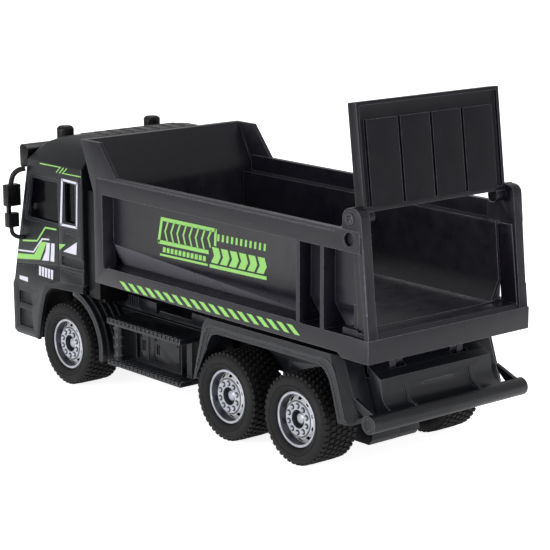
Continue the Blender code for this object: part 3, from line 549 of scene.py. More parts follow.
def in_order(mesh):
    """The same surface with corners and faces listed by place.

    Solid operations list them differently from run to run, and the rounding of edges depends
    on the list.
    """
    spots = [tuple(vertex.co) for vertex in mesh.vertices]
    order = sorted(range(len(spots)), key=lambda index: (
        [round(value, ORDER_DIGITS) for value in spots[index]], spots[index]))
    rank = {index: place_in_list for place_in_list, index in enumerate(order)}
    faces = []
    for polygon in mesh.polygons:
        corners = [rank[index] for index in polygon.vertices]
        first = corners.index(min(corners))
        faces.append((corners[first:] + corners[:first], polygon.material_index))
    faces.sort()
    listed = bpy.data.meshes.new(mesh.name)
    listed.from_pydata([spots[index] for index in order], [], [corners for corners, _ in faces])
    for item in mesh.materials:
        listed.materials.append(item)
    for polygon, (_, kind) in zip(listed.polygons, faces):
        polygon.material_index = kind
    return listed


def make(name, shape, finish, body=None, replaces=(), edge=0.0, segments=2,
         cuts=(), adds=(), smooth=True):
    """A finished piece: solid operations first, then rounded edges and smooth shading."""
    finishes = finish if isinstance(finish, (list, tuple)) else [finish]
    mesh = bpy.data.meshes.new(name)
    shape.transform(Matrix.Scale(MM, 4))
    shape.to_mesh(mesh)
    shape.free()
    for item in finishes:
        mesh.materials.append(item)
    made = bpy.data.objects.new(name, mesh)
    bpy.context.scene.collection.objects.link(made)
    tools = []
    for operation, group in (("UNION", adds), ("DIFFERENCE", cuts)):
        for tool_shape in group:
            tool = make(f"{name}_tool", tool_shape, finishes[-1], smooth=False)
            tools.append(tool)
            change = made.modifiers.new("solid", "BOOLEAN")
            change.operation = operation
            change.object = tool
            change.material_mode = "TRANSFER" if len(finishes) > 1 else "INDEX"
    if tools:
        made.data = in_order(settle(made))
        made.modifiers.clear()
        for tool in tools:
            bpy.data.objects.remove(tool, do_unlink=True)
    if edge:
        round_edges(made, edge, segments, keep_materials=True)
        made.data = settle(made)
        made.modifiers.clear()
    if smooth:
        made.data.shade_smooth()
        made.data.set_sharp_from_angle(angle=SHARP_ANGLE)
    if body:
        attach(made, body)
    if replaces:
        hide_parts(*replaces)
    return made


def finish_node(name, finish, edge=0.3, segments=2):
    """A CAD node that keeps its shape: finer edges, smooth shading and its material."""
    node = NODES[name]
    node.data.materials.clear()
    node.data.materials.append(finish)
    if edge:
        weld = node.modifiers.new("weld", "WELD")
        weld.merge_threshold = WELD_REACH
        round_edges(node, edge, segments).harden_normals = True
    node.data.shade_smooth()
    node.data.set_sharp_from_angle(angle=SHARP_ANGLE)


SIDES = (("left", 1), ("right", -1))
AXLES = ("front", "middle", "rear")

# ---- wheels ---------------------------------------------------------------

TREAD_ROWS = 6
TREAD_BLOCKS = 44
TREAD_MARGIN = 0.9
BLOCK_GAP = 0.28
BEAD_RADIUS = 11.3
WHEEL_STEPS = 72
NUTS = 10
NUT_CIRCLE = 5.3


def tyre_shape(side):
    """A tyre around the X axis through the origin of y and z, with block tread."""
    low, high = node_box("tyre_front_left")
    inner, outer = low[0], high[0]
    radius = (high[2] - low[2]) / 2.0
    middle = (inner + outer) / 2.0
    half = (outer - inner) / 2.0
    wall = [(BEAD_RADIUS, half - 2.0), (BEAD_RADIUS + 0.3, half - 1.35),
            (BEAD_RADIUS + 0.9, half - 0.8),
            (12.9, half - 0.3), (13.3, half - 0.16), (13.5, half - 0.36), (13.8, half - 0.3),
            (14.0, half - 0.04), (14.8, half), (15.7, half - 0.12), (16.3, half - 0.45),
            (radius - 1.1, half - 1.0), (radius - 0.85, half - 1.7)]
    profile = [(r, side * (middle + x)) for r, x in wall]
    profile += [(r, side * (middle - x)) for r, x in reversed(wall)]
    parts = [turned("X", (0.0, 0.0), profile, WHEEL_STEPS)]
    row_width = 2.0 * (half - TREAD_MARGIN) / TREAD_ROWS
    for row in range(TREAD_ROWS):
        x_low = middle - half + TREAD_MARGIN + row * row_width + BLOCK_GAP
        x_high = x_low + row_width - 2.0 * BLOCK_GAP
        edge_row = row in (0, TREAD_ROWS - 1)
        blocks = bmesh.new()
        for index in range(TREAD_BLOCKS):
            angle = FULL_TURN * (index + 0.5 * (row % 2)) / TREAD_BLOCKS
            span = FULL_TURN / TREAD_BLOCKS * 0.33
            corners = []
            for r, shrink in ((radius - 1.3, 0.0), (radius - 0.03, 0.1)):
                if edge_row and shrink:
                    r -= 0.12
                for x, turn in ((x_low + shrink, -span + shrink / r),
                                (x_high - shrink, -span + shrink / r),
                                (x_high - shrink, span - shrink / r),
                                (x_low + shrink, span - shrink / r)):
                    corners.append(blocks.verts.new((side * x, r * math.cos(angle + turn),
                                                     r * math.sin(angle + turn))))
            for ids in ((0, 1, 5, 4), (1, 2, 6, 5), (2, 3, 7, 6), (3, 0, 4, 7), (4, 5, 6, 7),
                        (3, 2, 1, 0)):
                blocks.faces.new([corners[i] for i in ids])
        bmesh.ops.recalc_face_normals(blocks, faces=blocks.faces)
        parts.append(blocks)
    return joined(parts)


def rim_parts(side):
    """The rim's body, its cutters and its nuts, around the X axis."""
    low, high = node_box("rim_front_left")
    lip = high[0]
    back = low[0]
    profile = [(0.0, lip - 2.0), (1.3, lip - 2.05), (1.95, lip - 2.4), (2.2, lip - 3.0),
               (2.3, lip - 3.7), (3.45, lip - 3.7), (3.6, lip - 1.15), (3.8, lip - 0.95),
               (6.65, lip - 0.95), (6.85, lip - 1.15), (6.95, lip - 1.8), (7.2, lip - 1.8),
               (7.35, lip - 1.35), (9.5, lip - 3.6), (9.75, lip - 3.8), (9.85, lip - 0.3),
               (10.0, lip - 0.08), (10.5, lip), (10.85, lip - 0.12), (11.0, lip - 0.5),
               (11.0, back), (9.9, back), (9.7, lip - 7.0), (1.6, lip - 7.0), (0.0, lip - 7.0)]
    # The cone bands take a lighter copy of the silver, a painted highlight; grooves, hub recess
    # and barrel wall take the darker grey.
    band_kinds = {4: 1, 5: 1, 10: 1, 12: 2, 13: 2, 14: 1}    # dark grooves, bright cone
    kinds = [band_kinds.get(index, 0) for index in range(len(profile))]
    profile = [(r, side * x) for r, x in profile]
    body = turned("X", (0.0, 0.0), profile, WHEEL_STEPS, kinds)
    holes = []
    nuts = []
    for index in range(NUTS):
        angle = FULL_TURN * index / NUTS
        hole = soft_corners([(-0.85, 7.6), (0.85, 7.6), (1.1, 9.2), (-1.1, 9.2)], 0.4, 3)
        cutter = plate("X", side * (lip - 6.6), side * (lip - 0.6), hole)
        cutter.transform(Matrix.Rotation(angle, 4, "X"))
        holes.append(cutter)
        turn = angle + math.pi / NUTS
        centre = (NUT_CIRCLE * math.cos(turn), NUT_CIRCLE * math.sin(turn))
        nut_profile = [(0.0, side * (lip - 0.2)), (0.45, side * (lip - 0.22)),
                       (0.68, side * (lip - 0.4)), (0.74, side * (lip - 1.2)),
                       (0.0, side * (lip - 1.2))]
        nuts.append(turned("X", centre, nut_profile, 14))
        collar = [(0.74, side * (lip - 0.93)), (0.8, side * (lip - 0.9)),
                  (1.12, side * (lip - 0.9)), (1.18, side * (lip - 0.93)),
                  (1.18, side * (lip - 1.1)), (0.74, side * (lip - 1.1))]
        nuts.append(turned("X", centre, collar, 16, [1] * len(collar)))
    return body, holes, nuts


WHEEL_PIECES = (("tread_tyre", "tyre", "tyre_rubber"), ("wheel_rim", "rim", "silver_plastic"),
                ("wheel_nuts", None, "silver_plastic"))


def first_wheel(ending, side):
    shell, holes, nuts = rim_parts(side)
    return [make(f"tread_tyre_{ending}", tyre_shape(side), RUBBER),
            make(f"wheel_rim_{ending}", shell, [SILVER, DARK, PAINTED_LIGHT_SILVER, BLACK],
                 cuts=[joined(holes)]),
            make(f"wheel_nuts_{ending}", joined(nuts), [SILVER, BLACK])]


def same_wheel(ending, pattern):
    """Three objects that share the first wheel's meshes."""
    shown = []
    for first, (label, _, _) in zip(pattern, WHEEL_PIECES):
        again = bpy.data.objects.new(f"{label}_{ending}", first.data)
        bpy.context.scene.collection.objects.link(again)
        shown.append(again)
    return shown


def wheels():
    for side_name, side in SIDES:
        pattern = None
        for axle in AXLES:
            ending = f"{axle}_{side_name}"
            y, z = joint_point(f"{axle}_axle_spin")
            shown = same_wheel(ending, pattern) if pattern else first_wheel(ending, side)
            pattern = pattern or shown
            for item, (_, node, slot) in zip(shown, WHEEL_PIECES):
                item.location = (0.0, y * MM, z * MM)
                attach(item, f"{axle}_wheelset")
                if node:
                    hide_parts(f"{node}_{ending}")
    for axle in AXLES:
        finish_node(f"{axle}_axle", STEEL, 0.1)


# ---- pieces that add detail to a CAD node ----------------------------------

NODE_WELD = 0.002                       # millimetres


def detailed(name, label, finish, adds=(), cuts=(), edge=0.3, segments=2):
    """A CAD node's own shape with shapes united with it and cut from it."""
    node = NODES[name]
    shape = bmesh.new()
    shape.from_mesh(node.data)
    shape.transform(Matrix.Scale(1.0 / MM, 4) @ node.matrix_world)
    bmesh.ops.remove_doubles(shape, verts=shape.verts, dist=NODE_WELD)
    make(label, shape, finish, body_of(node)[0], [name], edge, segments, cuts, adds)


def across(side, low, high, outline):
    """An outline in y and z extruded between two distances from the middle."""
    return plate("X", side * low, side * high, outline)


def groove(side, surface, depth, path, width):
    """A cutter that follows a path over a side surface."""
    return ribbon(path, width, "X", side * (surface - depth), side * (surface + 1.0))


def slab(side, x, y, z):
    """A box whose x is measured from the middle."""
    return block((side * x[0], side * x[1]), y, z)


# ---- cab ----------------------------------------------------------------

CAB_SIDE = 41.0
DOOR_SEAM_Y = -81.3
FRONT_SLOPE = 0.22
GRILLE_GAPS = 4
LENS_FLUTES = 6
BEACON_GRIPS = 10
INTAKE_SLOTS = 7
INTAKE_Y = -58.4
WELL_SHADE_SHEET = (24.6, 39.9)
ROOF_RIBS = (-21.0, -14.0, -7.0, 0.0, 7.0, 14.0, 21.0)
ARCH_LIP = [(-99.9, 16.0), (-96.5, 29.0), (-93.6, 37.4), (-91.0, 41.0), (-87.0, 42.9),
            (-63.5, 44.2)]
BELT_LINE = [(-114.9, 47.6), (-82.3, 51.6), (-63.3, 52.2)]
HANDLE_RECESS = [(-79.4, 53.0), (-62.6, 53.0), (-62.6, 57.3), (-79.4, 57.0)]


def bezel_outline(side):
    corners = [(22.9, 21.4), (37.1, 21.4), (37.1, 33.6), (22.9, 33.6)]
    return soft_corners([(side * x, z) for x, z in corners], 1.4)


def cab():
    """Seams, recesses, arch lips and roof ribs on the cab moulding, and a black sheet in each
    wheel well that stands in for the shade there.
    """
    cuts = []
    adds = []
    for _, side in SIDES:
        cuts.append(groove(side, CAB_SIDE, 0.5, [(DOOR_SEAM_Y, 44.6), (DOOR_SEAM_Y, 92.4)], 0.6))
        cuts.append(groove(side, CAB_SIDE, 0.5, BELT_LINE, 0.7))
        cuts.append(groove(side, CAB_SIDE, 0.5, [(-80.4, 50.4), (-64.6, 50.4)], 0.6))
        cuts.append(across(side, CAB_SIDE - 0.8, CAB_SIDE + 1.0,
                           soft_corners(HANDLE_RECESS, 2.4)))
        for z in (69.0, 67.9, 66.8):
            cuts.append(groove(side, CAB_SIDE, 0.45, [(-77.0, z), (-68.2, z)], 0.45))
        frame_line = [(-80.9, 89.8), (-80.9, 69.2), (-107.3, 69.2), (-102.9, 89.8)]
        cuts.append(across(side, CAB_SIDE - 0.5, CAB_SIDE + 1.0, soft_corners(frame_line, 1.6)))
        rear_line = [(-67.9, 90.2), (-67.9, 71.0), (-77.6, 71.0), (-77.6, 90.2)]
        cuts.append(across(side, CAB_SIDE - 0.35, CAB_SIDE + 1.0, soft_corners(rear_line, 1.2)))
        for low, high in ((30.2, 35.8), (19.6, 27.6)):
            recess = [(-113.6, low), (-102.6, low), (-103.4, high), (-113.4, high)]
            cuts.append(across(side, CAB_SIDE - 1.3, CAB_SIDE + 1.0, soft_corners(recess, 0.8)))
        adds.append(ribbon(ARCH_LIP, 3.2, "X", side * 39.7, side * (CAB_SIDE + 0.35)))
        adds.append(across(side, CAB_SIDE - 1.2, CAB_SIDE - 0.1,
                           soft_corners([(-76.6, 54.1), (-66.4, 54.1), (-66.4, 55.6),
                                         (-76.6, 55.4)], 0.6)))
        cuts.append(plate("Y", -121.0, -118.1, bezel_outline(side)))
    roof_rib = [(-71.5, 107.6), (-71.5, 108.9), (-80.0, 108.95), (-90.8, 107.1), (-90.8, 106.0),
                (-80.0, 107.6)]
    for x in ROOF_RIBS:
        adds.append(plate("X", x - 0.55, x + 0.55, roof_rib))
    cuts.append(block((-34.0, 34.0), (-121.0, -117.9), (36.2, 36.8)))
    cuts.append(block((-20.0, 20.0), (-121.0, -117.6), (19.5, 33.5)))
    cuts.append(block((-36.0, 36.0), (-121.0, -112.6), (58.4, 59.0)))
    detailed("cab_shell", "cab_body", CAB_PLASTIC, adds, cuts, 0.22)
    # A black sheet inside each arch: painted shade in the wheel well.
    for side_name, side in SIDES:
        shade_sheet = ribbon(ARCH_LIP, 1.0, "X", side * WELL_SHADE_SHEET[0], side * WELL_SHADE_SHEET[1])
        make(f"wheel_well_liner_{side_name}", shade_sheet, BLACK, "chassis")


def grille():
    """Cuts between the slats follow the slope of the front panel."""
    low, high = node_box("grille")
    gaps = []
    for index in range(GRILLE_GAPS):
        z = 44.4 + 3.2 * index
        y = -116.4 + (z - 41.5) * FRONT_SLOPE
        gaps.append(slab(1, (low[0] + 1.5, high[0] - 1.5), (y - 1.0, y + 1.6), (z - 1.3, z + 0.1)))
    detailed("grille", "grille_slats", BLACK, cuts=gaps, edge=0.2)


def headlamp(side_name, side):
    """A fluted lens in a dark bezel."""
    flutes = []
    for index in range(LENS_FLUTES):
        x = 25.2 + 2.0 * index
        flutes.append(slab(side, (x, x + 0.5), (-119.0, -118.0), (23.0, 32.0)))
    detailed(f"headlight_{side_name}", f"lamp_{side_name}", LENS, cuts=flutes, edge=0.35,
             segments=3)
    hole = soft_corners([(24.0, 22.5), (36.0, 22.5), (36.0, 32.5), (24.0, 32.5)], 1.2)
    bezel = plate("Y", -118.72, -118.2, bezel_outline(side))
    cut = plate("Y", -121.0, -116.0, [(side * x, z) for x, z in hole])
    make(f"lamp_bezel_{side_name}", bezel, BLACK, "chassis", cuts=[cut],
         edge=0.12)


def beacon(side_name):
    """A roof lamp's cap with grip flutes around it."""
    low, high = node_box(f"beacon_{side_name}")
    centre = ((low[0] + high[0]) / 2.0, (low[1] + high[1]) / 2.0)
    grips = []
    for index in range(BEACON_GRIPS):
        angle = FULL_TURN * index / BEACON_GRIPS
        spot = (centre[0] + 3.75 * math.cos(angle), centre[1] + 3.75 * math.sin(angle))
        grips.append(disc("Z", spot, 0.3, 103.6, 107.6, 8))
    detailed(f"beacon_{side_name}", f"beacon_cap_{side_name}", BLACK, cuts=grips, edge=0.25)


def air_intake():
    """Slots in the front and rear faces of the stack."""
    slots = []
    for index in range(INTAKE_SLOTS):
        z = 62.0 + 3.4 * index
        for way in (1, -1):
            slots.append(block((29.0, 36.6), (INTAKE_Y + way * 3.6, INTAKE_Y + way * 5.0),
                               (z, z + 1.4)))
    detailed("air_intake", "intake_stack", BLACK, cuts=slots, edge=0.35)


def cab_fittings():
    """Grille, visor, lamps, beacons, mirrors, wipers, glazing and the cab's inside."""
    grille()
    ribs = [slab(1, (x - 0.5, x + 0.5), (-109.2, -105.2), (95.0, 99.6))
            for x in (-27.0, -13.5, 0.0, 13.5, 27.0)]
    detailed("sun_visor", "visor_shade", BLACK, ribs, edge=0.25)
    for side_name, side in SIDES:
        headlamp(side_name, side)
        beacon(side_name)
        mirror_set(side_name, side)
        wiper = [(side * 20.0, -112.8, 61.4), (side * 12.0, -111.6, 67.0),
                 (side * 2.0, -110.3, 73.0)]
        make(f"wiper_{side_name}", tube(wiper, 0.45, 10), BLACK, "chassis")
    detailed("cab_interior", "cab_inside", BLACK)
    finish_node("cab_windows", GLASS, 0.0)
    air_intake()


def mirror_set(side_name, side):
    """Two housings on one bent arm, with a glass in each."""
    upper = slab(side, (42.1, 48.9), (-111.9, -108.1), (75.1, 84.5))
    lower = slab(side, (43.0, 48.4), (-111.8, -108.5), (65.6, 71.8))
    arm = [(side * 41.5, -105.0, 91.8), (side * 43.8, -107.0, 91.0), (side * 45.6, -108.6, 88.6),
           (side * 46.2, -109.8, 84.0)]
    foot = [(side * 46.2, -110.2, 66.4), (side * 45.8, -110.0, 62.8),
            (side * 43.8, -109.4, 61.0), (side * 41.2, -108.4, 60.6)]
    link = slab(side, (46.4, 48.0), (-111.0, -109.4), (71.0, 76.0))
    make(f"mirror_housing_{side_name}", upper, BLACK, "chassis",
         [f"mirror_{side_name}"], edge=0.9, segments=3,
         adds=[lower, link, tube(arm, 1.15), tube(foot, 0.95)])
    glass = plate("Y", -108.3, -108.1, soft_corners(
        [(side * 43.2, 76.2), (side * 48.1, 76.2), (side * 48.1, 83.6), (side * 43.2, 83.6)], 0.8))
    small = plate("Y", -108.6, -108.4, soft_corners(
        [(side * 43.8, 66.4), (side * 47.6, 66.4), (side * 47.6, 71.0), (side * 43.8, 71.0)], 0.7))
    make(f"mirror_face_{side_name}", joined([glass, small]), GLOSS, "chassis")


# ---- chassis --------------------------------------------------------------

def chassis():
    """Frame rails, running gear, lockers, mudguards, fenders and bumper."""
    details = []
    for _, side in SIDES:
        for index in range(6):
            y = -55.4 + 1.6 * index
            details.append(slab(side, (22.8, 24.2), (y, y + 0.8), (36.4, 41.4)))
        details.append(slab(side, (22.8, 24.0), (-58.0, -44.4), (36.2, 37.0)))
        for y in (-60.0, -20.0, 10.0, 52.0):
            details.append(disc("X", (y, 32.4), 1.0, side * 23.0, side * 24.0, 14))
    detailed("chassis_frame", "frame_channel", CHARCOAL, details, edge=0.25)
    for name in ("gearbox_half_left", "gearbox_half_right"):
        finish_node(name, CHARCOAL, 0.8, 3)
    for name in ("front_axle_keeper", "middle_axle_keeper"):
        finish_node(name, CHARCOAL, 0.3)
    for side_name, side in SIDES:
        step_box(side_name, side)
        mudguard(side_name, side)
        fender(side_name, side)
    bumper()


STEP_TEETH = 18
DOOR_HANDLES = (-21.4, -31.4)           # y of each door's handle recess
HINGES = (-23.4, -8.2, -33.4)


def step_box(side_name, side):
    """Toothed steps above and below a locker with latched doors."""
    low, high = node_box("step_box_left")
    front, rear, edge = low[1], high[1], high[0]
    pitch = (rear - front) / STEP_TEETH
    cuts = []
    adds = []
    for index in range(STEP_TEETH):
        y = front + pitch * (index + 0.5)
        for z in (low[2] + 0.7, high[2] - 1.5):
            notch = [(edge - 1.5, y - 0.2), (edge + 0.6, y - 0.75), (edge + 0.6, y + 0.95),
                     (edge - 1.5, y + 0.4)]
            cuts.append(plate("Z", z, z + 2.4, [(side * x, w) for x, w in notch]))
        adds.append(slab(side, (33.6, 39.2), (y - 0.3, y + 0.3), (16.6, 17.25)))
        adds.append(slab(side, (28.0, 39.2), (y - 0.3, y + 0.3), (34.8, 35.26)))
    for y in DOOR_HANDLES:
        cuts.append(slab(side, (32.2, 34.0), (y - 1.2, y + 1.2), (22.4, 27.2)))
    for z in (19.0, 23.0, 27.0, 31.0):
        adds.append(disc("Z", (side * 37.2, -43.0), 2.6, z - 0.5, z + 0.5, 24))
    detailed(f"step_box_{side_name}", f"locker_{side_name}", CHARCOAL, adds, cuts, 0.12)
    latches = []
    for y in DOOR_HANDLES:
        latches.append(slab(side, (32.1, 32.8), (y - 0.3, y + 0.3), (22.8, 26.8)))
        latches.append(slab(side, (32.1, 32.6), (y - 1.0, y + 1.0), (24.2, 25.4)))
    for y in HINGES:
        for z in (20.4, 28.2):
            latches.append(slab(side, (32.8, 33.3), (y - 0.35, y + 0.35), (z, z + 1.2)))
    make(f"locker_latches_{side_name}", joined(latches), BLACK, "chassis")


GUARD_RIDGES = (27.4, 30.6, 33.8, 37.0, 40.2)


def mudguard(side_name, side):
    """Raised ridges that follow the curve of the guard."""
    centre = joint_point("front_axle_spin")
    ridges = []
    for x in GUARD_RIDGES:
        outline = arc(centre, 25.3, -6.0, 76.0, 28) + arc(centre, 24.2, 76.0, -6.0, 28)
        ridges.append(plate("X", side * (x - 0.3), side * (x + 0.3), outline))
    detailed(f"front_mudguard_{side_name}", f"guard_{side_name}", CHARCOAL, ridges,
             edge=0.12)


def fender(side_name, side):
    """A lip and a groove along the twin arch, and slots in its top."""
    lip = [(15.4, 27.0), (20.4, 42.0), (22.4, 44.6), (25.2, 45.5), (92.8, 45.5), (95.6, 44.4),
           (97.4, 41.6), (101.6, 29.4), (103.4, 24.0)]
    adds = [ribbon(lip, 0.7, "X", side * 41.0, side * 41.9)]
    cuts = [groove(side, 41.5, 0.35, [(18.6, 28.0), (22.8, 41.0), (24.4, 43.4), (28.0, 44.0),
                                      (88.6, 44.1), (92.6, 42.6), (95.6, 38.6), (98.6, 30.0),
                                      (100.6, 24.0)], 0.6)]
    for x in (28.0, 31.5, 35.0):
        cuts.append(slab(side, (x - 0.35, x + 0.35), (24.0, 93.0), (47.6, 49.0)))
    detailed(f"rear_fender_{side_name}", f"arch_{side_name}", CHARCOAL, adds, cuts,
             segments=3)


def bumper():
    """A raised plate on the tail box and hollow ends on the bumper bar."""
    pads = [plate("Y", 108.0, 109.9, soft_corners([(-8.0, 31.4), (8.0, 31.4), (8.0, 34.6),
                                                    (-8.0, 34.6)], 0.5))]
    holes = []
    for _, side in SIDES:
        holes.append(disc("X", (115.2, 25.0), 2.2, side * 40.6, side * 42.0, 28))
    detailed("rear_bumper", "tail_box", CHARCOAL, pads, holes, 0.7, 3)


# ---- bed and tailgate -------------------------------------------------------

def bed():
    """Fine grooves and a ledge on the tub, and turned heads on the gate's pins."""
    cuts = []
    adds = []
    for _, side in SIDES:
        cuts.append(groove(side, 42.6, 0.3, [(-50.0, 94.9), (98.0, 94.9)], 0.35))
        cuts.append(groove(side, 42.1, 0.3, [(112.6, 90.0), (115.0, 66.0)], 0.35))
        adds.append(slab(side, (41.9, 42.6), (-43.0, 76.0), (57.0, 57.5)))
    detailed("dump_body", "tipper_tub", BED, adds, cuts, 0.32, 3)
    for side_name, side in SIDES:
        heads = [(0.0, 42.25), (0.5, 42.3), (0.75, 42.55), (1.0, 42.3), (1.55, 42.2),
                 (1.7, 42.5), (2.1, 42.5), (2.35, 42.2), (2.35, 41.6), (1.2, 41.6), (1.2, 33.6),
                 (0.0, 33.6)]
        profile = [(radius, side * x) for radius, x in heads]
        y, z = joint_point("tailgate_swing")
        make(f"gate_pin_head_{side_name}", turned("X", (y, z), profile, 28), BED, "bed",
             [f"gate_pin_{side_name}"])


def gate():
    detailed("tailgate", "gate_panel", SHADED_GATE, edge=0.35, segments=3)


# ---- printed marks ----------------------------------------------------------

INK_SUNK = 0.03
INK_PROUD = 0.09


def printed(label, side, surface, outlines, finish, body):
    """Flat ink shapes a tenth of a millimetre proud of a side surface."""
    shapes = [across(side, surface - INK_SUNK, surface + INK_PROUD, outline)
              for outline in outlines]
    make(label, joined(shapes), finish, body)


def cab_marks(side_name, side):
    """Green and white lines, bars and the window frame on the cab's side."""
    roof_line = band([(-94.0, 95.4), (-78.4, 95.6), (-81.6, 93.0)], 0.5)
    slash = band([(-75.9, 95.7), (-79.2, 93.0)], 0.5)
    sill_line = band([(-73.5, 95.7), (-76.9, 93.2), (-63.4, 93.4)], 0.5)
    pale = band([(-109.1, 58.9), (-97.7, 60.5), (-91.1, 67.4), (-82.6, 67.8)], 0.75)
    wide = [(-113.9, 52.4), (-100.4, 53.9), (-94.8, 60.5), (-90.3, 61.0), (-95.8, 52.3),
            (-113.9, 49.9)]
    flag = [(-80.6, 61.8), (-75.7, 62.3), (-80.6, 59.1)]
    printed(f"cab_green_{side_name}", side, CAB_SIDE, [roof_line, slash, sill_line, pale, wide,
                                                       flag], GREEN, "chassis")
    white_line = band([(-113.9, 53.9), (-100.9, 55.0), (-93.8, 61.9), (-88.3, 62.5)], 0.7)
    wedge = [(-67.3, 64.6), (-67.9, 58.9), (-77.7, 58.9)]
    slant_wide = [(-90.3, 60.8), (-87.8, 61.0), (-88.9, 52.9), (-94.2, 52.3), (-91.4, 56.6)]
    slant_thin = [(-86.7, 61.1), (-84.2, 61.3), (-84.9, 53.1), (-87.8, 53.0)]
    lamp = [(-112.6, 42.5), (-106.0, 42.6), (-106.0, 40.5), (-112.6, 40.8)]
    bars = []
    for index in range(5):
        y = -96.8 + 2.3 * index
        z = 49.4 - 0.05 * index
        bars.append([(y, z), (y + 1.7, z), (y + 1.3, z - 4.3), (y - 0.2, z - 4.2)])
    sides = [band([(-77.5, 90.4), (-66.1, 90.2)], 1.0), band([(-66.3, 90.6), (-67.3, 70.8)], 0.9),
             band([(-66.9, 70.9), (-79.4, 70.6)], 1.0), band([(-79.1, 70.3), (-77.3, 90.6)], 1.3)]
    printed(f"cab_white_{side_name}", side, CAB_SIDE,
            [white_line, wedge, slant_wide, slant_thin, lamp] + bars + sides, WHITE, "chassis")


BED_SIDE = 36.8
SILL_SIDE = 42.6
ROW_SLOPE = 0.022
ROW_MIDDLE_Y = 18.0
STRIPE_START_Y = -34.7
STRIPE_SLOPE = 0.0175


def sloped(*pairs):
    """The bed's printed rows climb slightly towards the rear."""
    return [(y, z + ROW_SLOPE * (y - ROW_MIDDLE_Y)) for y, z in pairs]


def bed_marks(side_name, side):
    """Frames, bars and chevrons on the bed's side, and slanted stripes on its sill."""
    shapes = [band(sloped((-15.0, 73.0), (-12.6, 83.0), (22.2, 82.7)), 1.5),
              band(sloped((22.3, 83.4), (21.8, 76.4)), 1.4),
              band(sloped((-15.4, 73.3), (17.6, 73.3)), 1.6)]
    for index in range(8):
        y = -9.4 + 4.0 * index
        low = 73.8 if index < 7 else 75.4
        shapes.append(band(sloped((y + 0.3, low), (y - 1.2, (low + 82.4) / 2.0),
                                  (y + 0.9, 82.4)), 0.9))
    for index in range(11):
        y = 23.9 + 2.82 * index
        shapes.append(sloped((y - 0.75, 78.6), (y + 0.5, 78.6), (y + 0.8, 81.4),
                             (y - 0.45, 81.4)))
    for index in range(6):
        y = 19.2 + 5.6 * index
        shapes.append(sloped((y, 69.4), (y + 4.2, 69.4), (y + 6.1, 72.5), (y + 4.8, 75.8),
                             (y + 0.6, 75.8), (y + 2.0, 72.5)))
    shapes.append(sloped((18.3, 67.3), (53.2, 67.3), (53.2, 68.7), (18.3, 68.7)))
    for index in range(11):
        y = -12.3 + 2.62 * index
        shapes.append(sloped((y, 69.3), (y + 1.8, 69.3), (y + 2.0, 71.4), (y + 0.2, 71.4)))
    shapes.append(sloped((-14.2, 67.6), (17.0, 67.6), (17.0, 68.5), (-14.2, 68.5)))
    printed(f"bed_green_{side_name}", side, BED_SIDE, shapes, GREEN, "bed")
    stripes = []
    for index in range(19):
        y = STRIPE_START_Y + 5.9 * index
        rise = STRIPE_SLOPE * (y - STRIPE_START_Y)
        stripes.append([(y, 53.5 + rise), (y + 3.2, 53.5 + rise), (y + 7.8, 50.3 + rise * 0.95),
                        (y + 4.8, 50.3 + rise * 0.95)])
    printed(f"sill_stripes_{side_name}", side, SILL_SIDE, stripes, GREEN, "bed")


def marks():
    for side_name, side in SIDES:
        cab_marks(side_name, side)
        bed_marks(side_name, side)


def small_parts():
    """Gears, shafts and screws keep their CAD shapes."""
    for name in ("axle_gear", "idler_gear"):
        finish_node(name, NYLON, 0.05)
    finish_node("flywheel_pinion", BRASS, 0.05)
    for name in ("flywheel", "flywheel_shaft", "idler_shaft", "bed_hinge_pin", "cab_screw",
                 "front_keeper_screw", "middle_keeper_screw"):
        finish_node(name, STEEL, 0.1)


# ---- stage ----------------------------------------------------------------
# Light is measured in metres and watts: name, place, target, size, power.

LAMPS = (("left_box", (0.95, -0.05, 0.17), (0.0, 0.0, 0.06), 0.6, 6.0),
         ("top_box", (-0.1, -0.5, 1.1), (0.0, 0.0, 0.05), 0.6, 5.0),
         ("rear_fill", (0.1, 1.0, 0.14), (0.0, 0.05, 0.03), 0.5, 4.6))
FLOOR_SIZE_M = 6.0
FLOOR_DROP_M = 0.0002
FLOOR_GLOW = (0.3, 0.85)                # for other rays and for the camera
SKY_GLOW = (0.5, 1.0)


def camera_switch(tree, levels):
    """A value for other rays and another for what the camera sees directly."""
    path = tree.nodes.new("ShaderNodeLightPath")
    switch = tree.nodes.new("ShaderNodeMapRange")
    switch.inputs["To Min"].default_value = levels[0]
    switch.inputs["To Max"].default_value = levels[1]
    tree.links.new(path.outputs["Is Camera Ray"], switch.inputs["Value"])
    return switch.outputs["Result"]


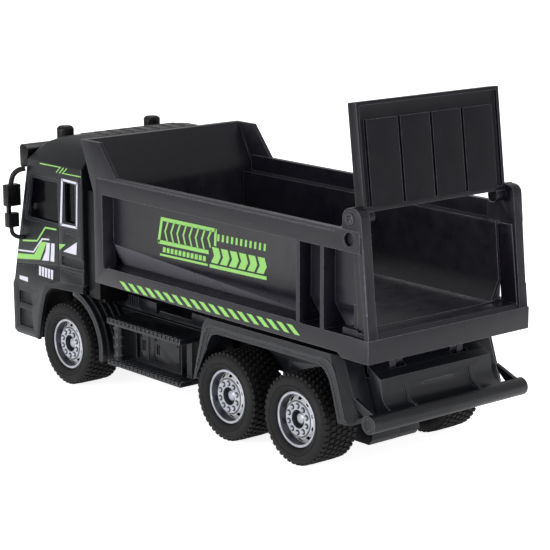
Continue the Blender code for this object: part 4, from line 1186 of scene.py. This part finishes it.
def aimed(item, place_m, target_m):
    """An object put in the scene and turned towards a point."""
    bpy.context.scene.collection.objects.link(item)
    item.location = place_m
    way = Vector(target_m) - Vector(place_m)
    item.rotation_euler = way.to_track_quat("-Z", "Y").to_euler()


def studio():
    """A plain pale floor, an even sky and three soft lamps."""
    floor_mesh = bpy.data.meshes.new("floor")
    sheet = bmesh.new()
    bmesh.ops.create_grid(sheet, x_segments=1, y_segments=1, size=FLOOR_SIZE_M)
    sheet.to_mesh(floor_mesh)
    sheet.free()
    floor = bpy.data.objects.new("floor", floor_mesh)
    bpy.context.scene.collection.objects.link(floor)
    paper = Nodes("floor_paper")
    paper.set(Base_Color=(0.9, 0.9, 0.9), Roughness=0.9, Emission_Color=(1.0, 1.0, 1.0))
    paper.link(camera_switch(paper.tree, FLOOR_GLOW), paper.shader.inputs["Emission Strength"])
    floor_mesh.materials.append(paper.material)
    floor.location = (0.0, 0.0, -FLOOR_DROP_M)

    world = bpy.data.worlds.new("studio")
    bpy.context.scene.world = world
    world.use_nodes = True
    backdrop = world.node_tree.nodes["Background"]
    backdrop.inputs["Color"].default_value = (1.0, 1.0, 1.0, 1.0)
    world.node_tree.links.new(camera_switch(world.node_tree, SKY_GLOW),
                              backdrop.inputs["Strength"])
    bpy.context.scene.view_settings.view_transform = "Standard"

    for name, place_m, target_m, size, power in LAMPS:
        light = bpy.data.lights.new(name, "AREA")
        light.shape = "DISK"
        light.size = size
        light.energy = power
        aimed(bpy.data.objects.new(name, light), place_m, target_m)


CAMERA_PLACE_M = (0.5187, 0.6212, 0.2367)
CAMERA_TARGET_M = (0.0, 0.01575, 0.05)
CAMERA_LENS = 130.18                    # millimetres of focal length on a 36 mm sensor
CAMERA_SHIFT = (-0.0019, 0.0361)


def photo_camera():
    data = bpy.data.cameras.new("camera")
    data.lens = CAMERA_LENS
    data.sensor_width = 36.0
    data.shift_x, data.shift_y = CAMERA_SHIFT
    data.clip_start = 0.01
    camera = bpy.data.objects.new("camera", data)
    aimed(camera, CAMERA_PLACE_M, CAMERA_TARGET_M)
    bpy.context.scene.camera = camera


wheels()
cab()
cab_fittings()
chassis()
bed()
gate()
small_parts()
marks()
studio()
photo_camera()
